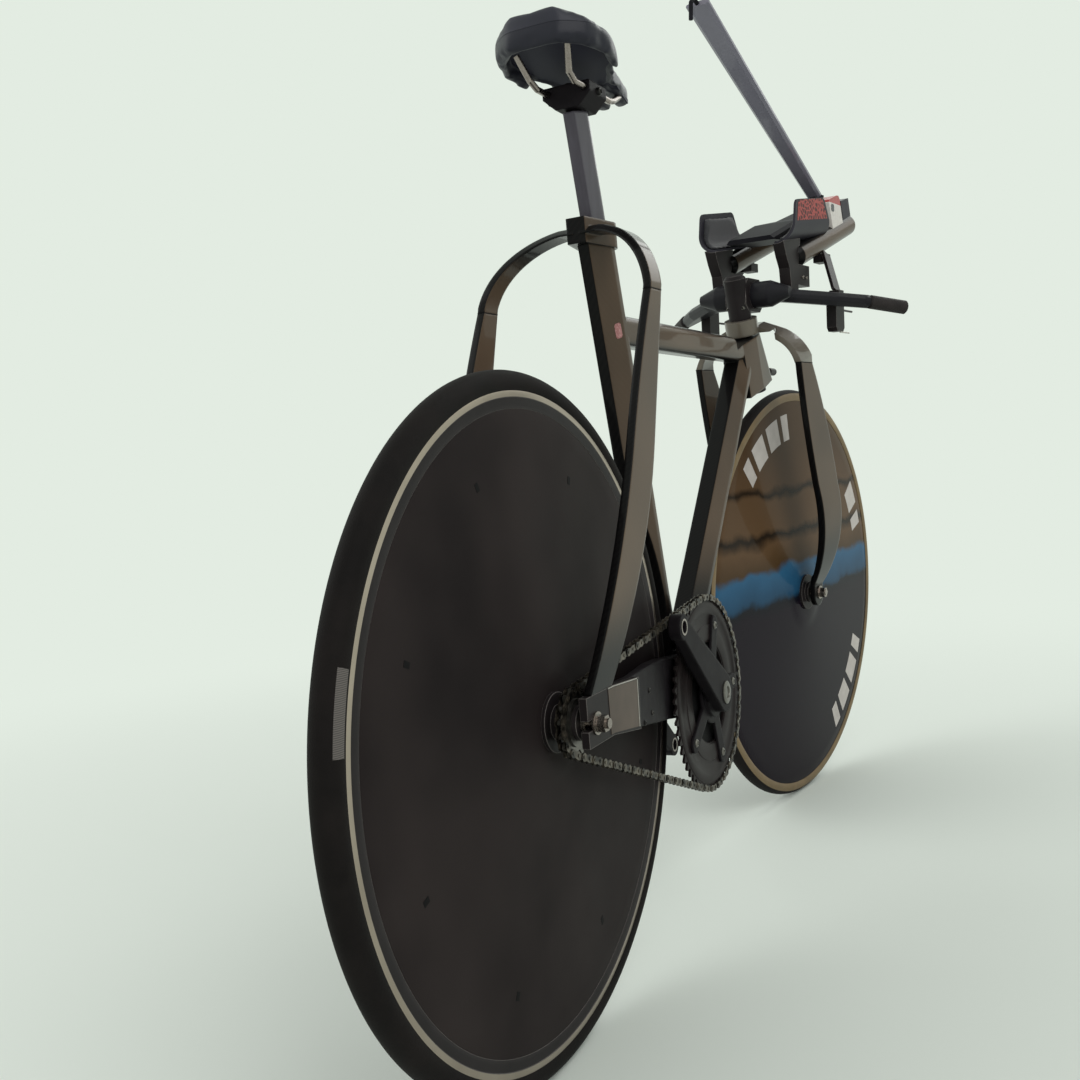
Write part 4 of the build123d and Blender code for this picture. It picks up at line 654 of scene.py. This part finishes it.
# Satin epoxy over fine carbon: near black with a warm cast, cloudy where the
# fibre's layers differ, and a broad, soft highlight.
satin_skin, tree, shader, spot = finish("satin_carbon_skin")
_, skin_shade = two_shades(spot, "#1A1617", "#332D2C", 3.5, 3.0, 0.55, 0.3, 0.72)
smudge = add(tree, "TexNoise", {"Vector": spot, "Scale": 9.0, "Detail": 5.0, "Roughness": 0.65})
satin = add(tree, "MapRange", {"Value": smudge, "To Min": 0.36, "To Max": 0.55})
fine = add(tree, "TexNoise", {"Vector": spot, "Scale": 700.0, "Detail": 2.0})
clothy = add(tree, "Bump", {"Height": fine, "Strength": 0.06, "Distance": 0.0003})
feed(shader, {"Base Color": skin_shade, "Roughness": satin, "Specular IOR Level": 0.03, "Normal": clothy})

BOSS, BORE = 52.8, 24.2


def lens(outer, edge, hub_half):
    """One side of a disc wheel's section, from the edge in to the bore, as (radius, height)."""
    side = [(outer, edge), (outer - 1.5, edge + 0.4)]
    for k in range(1, 17):
        share = k / 16
        radius = outer - 1.5 + (BOSS - outer + 1.5) * share
        side.append((radius, edge + 0.4 + (hub_half - 0.6 - edge - 0.4) * share ** 1.12))
    return side + [(BOSS - 3, hub_half), (BORE, hub_half)]


rear_side = lens(301.0, 11.4, 24.0)
wheel_ring("rear", "disc", both_sides(rear_side), [satin_skin], 160)


def height_on(side, radius):
    """Height of a disc's section at a radius."""
    (r0, y0), (r1, y1) = next(run for run in zip(side, side[1:]) if run[1][0] <= radius <= run[0][0])
    return y0 + (y1 - y0) * (r0 - radius) / (r0 - r1)


notches = [patch("rear", start, start + 1.3, 244, 252, 0.25, 3,
                 lambda radius: face * height_on(rear_side, radius))
           for start in range(21, 360, 45) for face in (1, -1)]
made("rear_disc_notches", notches, epoxy, "rear_wheel")

# The rear hub: black anodised aluminium, with a fixed cog threaded on and locked
# by a ring. The steel axle is held by nuts on steel washers outside the dropouts.

# Cut steel: milled teeth, nickel plated and oily, mid grey with darker roots.
cut_steel = mottled("nickel_plated_steel", "#3A3835", "#8B8781", 120.0, 4.0,
                    {"Metallic": 0.95, "Roughness": 0.33})
dress(cut_steel, "rear_cog", "rear_lockring")
dress(anodised, "rear_hub", "front_hub")
dress(satin_chrome, "rear_axle", "rear_axle_nuts", "front_axle", "front_axle_nuts")
DROPOUT_FACE = 68.0
washer = [(5.2, 0), (10.4, 0), (10.4, 1.2), (9.0, 2.1), (5.2, 2.1)]
washers = [spun(washer, rear_hub + Vector((0, side * DROPOUT_FACE / 1000, 0)), (0, side, 0), 32)
           for side in (1, -1)]
made("rear_axle_washers", washers, cut_steel, "frame")

# The front tyre: a 25 mm tubular with a black tread and bare tan side walls of
# cotton casing under clear latex.

# Latexed cotton: warm tan, threads 0.25 mm apart drawn at 3 mm so that they show.
tan_wall, tree, shader, spot = finish("tan_cotton_side_wall")
warp = add(tree, "TexWave", {"Vector": spot, "Scale": 160.0, "Distortion": 1.0}, bands_direction="DIAGONAL")
_, tan = two_shades(spot, "#54452E", "#8A7450", 20.0, 4.0)
ribbed = add(tree, "Bump", {"Height": warp.outputs["Fac"], "Strength": 0.2, "Distance": 0.0003})
feed(shader, {"Base Color": tan, "Roughness": 0.6, "Normal": ribbed})
wheel_ring("front", "tyre", tyre_outline(319.25, 337.8, 12.5), [tread, tan_wall], 220,
           lambda radius, side: radius < 331.0)

# The front disc: the same build as the rear one, but lacquered to a mirror. A
# reflection is painted into its colour: brown on the upper half, a blue band
# across it at the hub, and black on the lower half. Plain white blocks stand near
# the edge.

# Lacquer polished to a mirror, with a painted reflection as its colour: brown
# with dark wavy streaks above, one soft-edged blue band, and violet-black below.
painted_reflection_mirror, tree, shader, spot = finish("painted_reflection_mirror_lacquer")
parts = add(tree, "SeparateXYZ", {0: spot})
wander = add(tree, "TexNoise", {"Vector": spot, "Scale": 14.0, "Detail": 4.0})
bent = add(tree, "MapRange", {"Value": wander, "To Min": -0.022, "To Max": 0.022})
height = add(tree, "Math", {0: parts.outputs["Z"], 1: front_hub.z}, operation="SUBTRACT")
wavy = add(tree, "Math", {0: height, 1: bent}, operation="ADD")
scaled = add(tree, "MapRange", {"Value": wavy, "From Min": -0.34, "From Max": 0.34})
# painted reflection: bands of colour set by height on the disc, with wavy edges
painted_reflection_bands = add(tree, "ValToRGB", {"Fac": scaled})
stops = painted_reflection_bands.color_ramp.elements
stops[0].color, stops[1].color = linear("#181119"), linear("#4A392A")
for position, code in ((0.47, "#18111B"), (0.495, "#10121A"), (0.51, "#1E4460"), (0.565, "#2B5A7C"),
                       (0.58, "#47341F"), (0.63, "#5C452F"), (0.655, "#150E08"), (0.67, "#5A442F"),
                       (0.74, "#57422E"), (0.755, "#1A120A"), (0.77, "#55402D"), (0.86, "#4B3A2A")):
    stops.new(position).color = linear(code)
feed(shader, {"Base Color": painted_reflection_bands, "Roughness": 0.25, "Specular IOR Level": 0.02, "Coat Weight": 0.2,
              "Coat Roughness": 0.02, "Coat IOR": 1.22})
front_side = lens(319.2, 10.4, 21.0)
wheel_ring("front", "disc", both_sides(front_side), [painted_reflection_mirror], 200)

# White ink, screen printed and lacquered over: flat, slightly greyed by the coat.
white_ink = mottled("lacquered_white_ink", "#A9A19C", "#C9C2BC", 60.0, 3.0,
                    {"Roughness": 0.35, "Specular IOR Level": 0.05, "Coat Weight": 0.6,
                     "Coat Roughness": 0.04, "Coat IOR": 1.25})
blocks = [patch("front", start, start + span, 258, 300, 0.15, 6,
                lambda radius: face * height_on(front_side, radius))
          for start, span in ((97, 5), (105, 9), (117, 9), (129, 5), (-62, 5), (-54, 9), (-42, 9), (-30, 5),
                              (18, 5), (26, 9)) for face in (1, -1)]
made("front_disc_blocks", blocks, white_ink, "front_wheel")

# The chain: two rows of punched steel side plates riveted over rollers, 12.7 mm
# from pin to pin. It runs straight from the cog to the ring, above and below. Round
# them the rollers are down between the teeth, so only plates and pin ends are drawn.

# Sizes in mm: each side plate from its inner to its outer face, as heights from the
# chain's line, then the radius of its ends and half its waist.
PITCH, CHAINLINE, COG_TEETH, RING_TEETH = 12.7, 45.0, 15, 58
INNER_PLATE, OUTER_PLATE, PLATE_END, PLATE_WAIST = (2.4, 3.5), (3.5, 4.4), 4.3, 2.9
PIN, PIN_END, ROLLER, TOOTH_REACH = 1.7, 5.0, 3.6, 9
bracket = Vector(joints["crank_spin"]["pos_m"])
cog_radius, ring_radius = (PITCH / (2 * math.sin(math.pi / teeth)) for teeth in (COG_TEETH, RING_TEETH))


def chain_points():
    """Pin centres round the cog and the ring, evenly spaced, as (ahead of the hub, above it) in mm."""
    span = (bracket - rear_hub) * 1000
    distance, slope = math.hypot(span.x, span.z), math.atan2(span.z, span.x)
    wrap = math.asin((ring_radius - cog_radius) / distance)
    run, up, down = distance * math.cos(wrap), slope + wrap + math.pi / 2, slope - wrap - math.pi / 2
    cog, ring = (0, 0), (span.x, span.z)
    legs = [(run, cog, cog_radius, up, False),
            (ring_radius * (up - down), ring, ring_radius, up, True),
            (run, ring, ring_radius, down, False),
            (cog_radius * (2 * math.pi - up + down), cog, cog_radius, down, True)]
    whole = sum(leg[0] for leg in legs)
    count, points = 2 * round(whole / PITCH / 2), []
    for k in range(count):
        past = whole * k / count
        for length, centre, radius, angle, curved in legs:
            if past < length:
                break
            past -= length
        if curved:
            angle, past = angle - past / radius, 0
        points.append((centre[0] + radius * math.cos(angle) + past * math.sin(angle),
                       centre[1] + radius * math.sin(angle) - past * math.cos(angle)))
    return points


def side_plate(start, end, low, high):
    """One waisted side plate between two pins, from one height to another left of the middle."""
    run = math.atan2(end[1] - start[1], end[0] - start[0])
    outline = []
    for centre, turn in ((start, run + math.pi), (end, run)):
        outline += [(centre[0] + PLATE_END * math.cos(turn + step),
                     centre[1] + PLATE_END * math.sin(turn + step))
                    for step in (-1.9, -1.3, -0.6, 0.0, 0.6, 1.3, 1.9)]
        middle = ((start[0] + end[0]) / 2, (start[1] + end[1]) / 2)
        outline.append((middle[0] - PLATE_WAIST * math.sin(turn), middle[1] + PLATE_WAIST * math.cos(turn)))
    up = (rear_hub.z - ground) * 1000
    return slab([(x, z + up) for x, z in outline], low, high)


# Oiled chain steel: punched plates with a warm grey mill finish, black oil in
# the gaps and bright wear on the plates' rims.
chain_steel = mottled("oiled_chain_steel", "#1D1A18", "#6E665C", 150.0, 4.0,
                      {"Metallic": 0.9, "Roughness": 0.36}, start=0.36, end=0.66)
pins, links = chain_points(), []
for k, pin in enumerate(pins):
    after = pins[(k + 1) % len(pins)]
    inside, outside = INNER_PLATE if k % 2 == 0 else OUTER_PLATE
    for side in (1, -1):
        links.append(side_plate(pin, after, *sorted((side * inside - CHAINLINE, side * outside - CHAINLINE))))
    place = rear_hub + Vector((pin[0], -CHAINLINE, pin[1])) / 1000
    from_ring = math.hypot(pin[0] - (bracket - rear_hub).x * 1000, pin[1] - (bracket - rear_hub).z * 1000)
    if min(from_ring - ring_radius, math.hypot(*pin) - cog_radius) < TOOTH_REACH:
        links += [spun([(0.01, side * 2.5), (PIN, side * 2.5), (PIN, side * PIN_END), (0.01, side * PIN_END)],
                       place, (0, 1, 0), 8) for side in (1, -1)]
    else:
        links += [spun([(0.01, -end), (radius, -end), (radius, end), (0.01, end)], place, (0, 1, 0), sides)
                  for radius, end, sides in ((ROLLER, INNER_PLATE[0], 10), (PIN, PIN_END, 8))]
chain = made("roller_chain", links, chain_steel, "frame")
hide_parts("chain")

# The cranks: hollow carbon mouldings, rubbed matt, on a steel spindle. The
# five-armed spider of the right one carries the ring, which is one CNC-cut plate.
dress(matt_carbon, "crank_left", "crank_right")
dress(cut_steel, "crank_spindle")

# Machined, hard-anodised ring: charcoal with a soft sheen in the cutter's rings,
# which are drawn 1.5 mm apart so that they show.
machined_black, tree, shader, spot = finish("machined_black_anodised")
pieces = add(tree, "VectorMath", {0: spot, 1: tuple(bracket)}, operation="SUBTRACT")
flat = add(tree, "VectorMath", {0: pieces, 1: (1, 0, 1)}, operation="MULTIPLY")
radial = add(tree, "VectorMath", {0: flat}, operation="LENGTH")
rings = add(tree, "Math", {0: radial, 1: 4200.0}, operation="MULTIPLY")
cutter = add(tree, "Math", {0: rings}, operation="SINE")
_, ring_black = two_shades(spot, "#151112", "#2C2626", 40.0, 3.0)
turned_rings = add(tree, "Bump", {"Height": cutter, "Strength": 0.08, "Distance": 0.0002})
feed(shader, {"Base Color": ring_black, "Roughness": 0.36, "Specular IOR Level": 0.06,
              "Normal": turned_rings})
dress(machined_black, "chainring")
face_ring = [(64, -1.4), (112, -1.4), (112, -1.9), (109, -2.6), (100, -2.6), (99, -2.0), (84, -2.0),
             (83, -2.8), (66, -2.8), (64, -2.2)]
ring_centre = bracket + Vector((0, -CHAINLINE / 1000, 0))
made("chainring_relief", [spun(face_ring, ring_centre, (0, 1, 0), 120)], machined_black, "crankset")

# The spider's cover: a pressed carbon dish behind the arms that closes their
# windows against road spray, painted with black epoxy.
made("spider_cover", [spun([(19, 2.2), (73, 2.2), (73, 3.4), (19, 3.4)], ring_centre, (0, 1, 0), 72)], epoxy,
     "crankset")
CRANK_TURN, CRANK_LENGTH, BOLT_CIRCLE = 142, 165, 84


def round_bracket(degrees, radius, y):
    """Point at an angle and a radius in mm round the crank's axis, left of the middle by y."""
    turn = math.radians(degrees)
    return bracket + Vector((radius * math.cos(turn), y, radius * math.sin(turn))) / 1000


ring_bolts = [screw(round_bracket(CRANK_TURN + 72 * k, BOLT_CIRCLE, -50.2), (0, -1, 0), 5.0, 2.2)
              for k in range(5)]
cap = [(0.01, 0), (14, 0), (14, 1.4), (12, 2.4), (7.6, 2.4), (7.0, 1.0), (0.01, 1.0)]
ring_bolts += [spun(cap, round_bracket(0, 0, side * 68.4), (0, side, 0), 32) for side in (1, -1)]
made("crank_bolts", ring_bolts, cut_steel, "crankset")
inserts = [spun([(7.3, 0), (9.6, 0), (9.6, 14.9), (7.3, 14.9)],
                round_bracket(turn, CRANK_LENGTH, side * 54.2), (0, side, 0), 28)
           for side, turn in ((-1, CRANK_TURN), (1, CRANK_TURN + 180))]
made("pedal_thread_inserts", inserts, satin_chrome, "crankset")

# The stem and the base bar: a forged aluminium clamp on the steerer, and a
# carbon bar with flat wings, left satin so that it does not glare.

# Satin lacquer on carbon: cool charcoal, a little cloudy, with a soft sheen.
satin_bar, tree, shader, spot = finish("satin_carbon_bar")
_, bar_black = two_shades(spot, "#141317", "#29282C", 12.0, 3.0)
broad_edge = add(tree, "Bevel", {"Radius": 0.003}, samples=6)
sprayed_fine = add(tree, "TexNoise", {"Vector": spot, "Scale": 900.0, "Detail": 2.0})
misted = add(tree, "Bump", {"Height": sprayed_fine, "Strength": 0.08, "Distance": 0.0003,
                            "Normal": broad_edge})
feed(shader, {"Base Color": bar_black, "Roughness": 0.34, "Specular IOR Level": 0.12, "Normal": misted})
dress(satin_bar, "base_bar")
dress(anodised, "stem")
STEM_BACK, BOLT_SIDE, BOLT_HEIGHTS = 778.5, 12, (797, 839)
stem_bolts = [screw(rest @ at(STEM_BACK, y, z), rest.to_3x3() @ Vector((-1, 0, 0)), 3.2, 3.0)
              for y in (-BOLT_SIDE, BOLT_SIDE) for z in BOLT_HEIGHTS]
made("stem_bolts", stem_bolts, cut_steel, "steering")

# The grips: soft rubber sleeves pushed over the horns, each with fine ribs and a
# closed end.

# Grip rubber: moulded, matt, brownish black, ribs 3 mm apart.
grip_rubber, tree, shader, spot = finish("ribbed_grip_rubber")
ribs = add(tree, "TexWave", {"Vector": spot, "Scale": 100.0}, bands_direction="X")
_, grip_black = two_shades(spot, "#191617", "#332D2C", 50.0, 4.0)
ribbing = add(tree, "Bump", {"Height": ribs.outputs["Fac"], "Strength": 0.4, "Distance": 0.0006})
feed(shader, {"Base Color": grip_black, "Roughness": 0.6, "Specular IOR Level": 0.2, "Normal": ribbing})
dress(grip_rubber, "grip_left", "grip_right")

# The arm rests: two carbon tubes under the forearms, each clamped in a forged
# riser on the bar's wing. A moulded cup with a high outer wall is bonded on each,
# lined with a thin foam pad under stretch cloth.
dress(lacquered_carbon, "extension_left", "extension_right")
dress(anodised, "risers", "brace_left", "brace_right")

# Satin cup shells: carbon pressed with a matt film, cool dark grey.
cup_shell, tree, shader, spot = finish("satin_cup_shell")
_, cup_grey = two_shades(spot, "#201F24", "#3A3840", 16.0, 2.0)
pressed = add(tree, "TexNoise", {"Vector": spot, "Scale": 800.0, "Detail": 2.0})
film = add(tree, "Bump", {"Height": pressed, "Strength": 0.1, "Distance": 0.0003})
feed(shader, {"Base Color": cup_grey, "Roughness": 0.4, "Specular IOR Level": 0.1, "Normal": film})
dress(cup_shell, "arm_cup_left", "arm_cup_right")

# Cup panels: a red printed lattice of 8 mm cells on brown film, one plain panel
# on each cup's outer wall.
red_lattice, tree, shader, spot = finish("red_printed_lattice")
cells = add(tree, "TexVoronoi", {"Vector": spot, "Scale": 130.0}, feature="DISTANCE_TO_EDGE")
line_red = add(tree, "MapRange", {"Value": cells, "From Min": 0.06, "From Max": 0.2})
lattice = add(tree, "Mix", {"Factor": line_red, 6: linear("#A5504C"), 7: linear("#472C2B")}, data_type="RGBA")
feed(shader, {"Base Color": lattice, "Roughness": 0.45, "Specular IOR Level": 0.1})


def wall_panel(node, normal, share=0.86, lift=0.4):
    """A thin panel on a CAD node's flat wall: the wall's outline drawn in by a share, and raised in mm."""
    mesh, normal = frame["nodes"][node].data, Vector(normal).normalized()
    flat = [face for face in mesh.polygons if face.normal.dot(normal) > 0.98]
    spots = [mesh.vertices[k].co for face in flat for k in face.vertices]
    top = max(place.dot(normal) for place in spots)
    spots = [place for place in spots if place.dot(normal) > top - 0.0005]
    low = min(place.z for place in spots)
    spots = [place for place in spots if place.z > low]
    middle = sum(spots, Vector()) / len(spots)
    hull = bmesh.new()
    for height in (-0.0002, lift / 1000):
        for place in spots:
            hull.verts.new(middle + (place - middle) * share + normal * height)
    out = bmesh.ops.convex_hull(hull, input=hull.verts)
    inside = [part for part in out["geom_interior"] if isinstance(part, bmesh.types.BMVert)]
    bmesh.ops.delete(hull, geom=inside, context="VERTS")
    hull.verts.index_update()
    shape = [v.co.copy() for v in hull.verts], [tuple(v.index for v in face.verts) for face in hull.faces]
    hull.free()
    return shape


for side in ("left", "right"):
    outward = rest.to_3x3() @ Vector((0, 1 if side == "left" else -1, 0))
    made("arm_cup_panel_" + side, [wall_panel("arm_cup_" + side, outward)], red_lattice, "steering")

# Stretch cloth over foam: knitted nylon, threads 0.4 mm apart drawn at 1 mm.
pad_cloth, tree, shader, spot = finish("knitted_pad_cloth")
knit = add(tree, "TexVoronoi", {"Vector": spot, "Scale": 900.0})
cloth_shade = add(tree, "Mix", {"Factor": knit, 6: linear("#2C2B30"), 7: linear("#17161A")}, data_type="RGBA")
knitted = add(tree, "Bump", {"Height": knit, "Strength": 0.4, "Distance": 0.0005})
feed(shader, {"Base Color": cloth_shade, "Roughness": 0.85, "Sheen Weight": 0.3, "Normal": knitted})
for side in ("left", "right"):
    cushion("arm_pad_" + side, "forearm_cushion_" + side, pad_cloth, "steering", voxel=0.0026, pressure=2.0,
            cap=0.0012, draw_in=0.01)

RISER_FACE, CLAMP_HEIGHT = 66, 846
riser_screws = [screw(rest @ at(x, RISER_FACE * side, CLAMP_HEIGHT),
                      rest.to_3x3() @ Vector((0, side, 0)), 2.6, 2.0)
                for side in (1, -1) for x in (884, 898)]
made("riser_screws", riser_screws, satin_chrome, "steering")


def peg(start, end, radius, sides=10):
    """Points and faces of a straight round bar between two points, its ends closed."""
    run = (end - start).normalized()
    side = run.orthogonal().normalized()
    turns = [2 * math.pi * k / sides for k in range(sides)]
    arms = [(side * math.cos(turn) + run.cross(side) * math.sin(turn)) * radius / 1000 for turn in turns]
    faces = [(k, (k + 1) % sides, sides + (k + 1) % sides, sides + k) for k in range(sides)]
    ends = [tuple(range(sides)), tuple(range(sides, 2 * sides))]
    return [point + arm for point in (start, end) for arm in arms], faces + ends


# The braces end in bright aluminium pegs, pushed through them from behind.
BRACE_SIDE, BRACE_HEIGHT = 115, 758
pegs = [peg(*(rest @ at(x, side * BRACE_SIDE, BRACE_HEIGHT) for x in (908, 946)), 1.3) for side in (1, -1)]
made("brace_pegs", pegs, bright_edge, "steering")

# The drinks bottle: a blow-moulded wedge between the arms, with a socket for its
# flat straw, which rises back to the rider and ends in a soft bent tip.

# Blow-moulded polythene: satin black, slightly wavy where the blown wall cooled.
polythene, tree, shader, spot = finish("black_polythene")
waves, bottle_black = two_shades(spot, "#151418", "#28272C", 20.0, 2.0)
wavy_skin = add(tree, "Bump", {"Height": waves, "Strength": 0.2, "Distance": 0.002})
feed(shader, {"Base Color": bottle_black, "Roughness": 0.5, "Specular IOR Level": 0.04, "Normal": wavy_skin})
dress(polythene, "bottle", "straw_socket", "mouthpiece")

# Smoked polycarbonate straw: blue-grey, glossy, with milky streaks along it.
smoked_straw, tree, shader, spot = finish("smoked_polycarbonate")
lengthwise = add(tree, "Mapping", {"Vector": spot, "Scale": (6.0, 30.0, 8.0)})
milk = add(tree, "TexNoise", {"Vector": lengthwise, "Scale": 1.5, "Detail": 3.0})
smoke = add(tree, "Mix", {"Factor": milk, 6: linear("#6C6A76"), 7: linear("#7C7985")}, data_type="RGBA")
feed(shader, {"Base Color": smoke, "Roughness": 0.2, "Specular IOR Level": 0.2, "Coat Weight": 0.5,
              "Coat IOR": 1.3})
dress(smoked_straw, "straw")

# The hand pod: on the right arm's tip stands a small moulded control, white with
# a red top, beside a grey block. A smoked lens is set in its outer face.

# White ABS with a red top: injection moulded, glossy, slightly yellowed.
pod_plastic, tree, shader, spot = finish("white_and_red_abs")
parts = add(tree, "SeparateXYZ", {0: spot})
pod_low, pod_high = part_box("hand_pod")
split = add(tree, "Math", {0: parts.outputs["Z"], 1: pod_low.z + 0.72 * (pod_high.z - pod_low.z)},
            operation="GREATER_THAN")
_, aged = two_shades(spot, "#BDB6B0", "#DAD5CF", 200.0, 3.0)
two_tone = add(tree, "Mix", {"Factor": split, 6: aged, 7: linear("#A33A38")}, data_type="RGBA")
feed(shader, {"Base Color": two_tone, "Roughness": 0.3})
dress(pod_plastic, "hand_pod")
dress(cup_shell, "pod_block")

# The pod's lens: a smoked window over its lamp, glossy and nearly black.
smoked_lens = mottled("smoked_lens", "#17181D", "#33343D", 350.0, 2.0, {"Roughness": 0.12})
lens_place, outward = rest @ at(1009, -70.0, 968), rest.to_3x3() @ Vector((0, -1, 0))
made("hand_pod_lens", [plate(lens_place, outward, (0, 0, 1), 12, 12, 0.4)], smoked_lens, "steering")
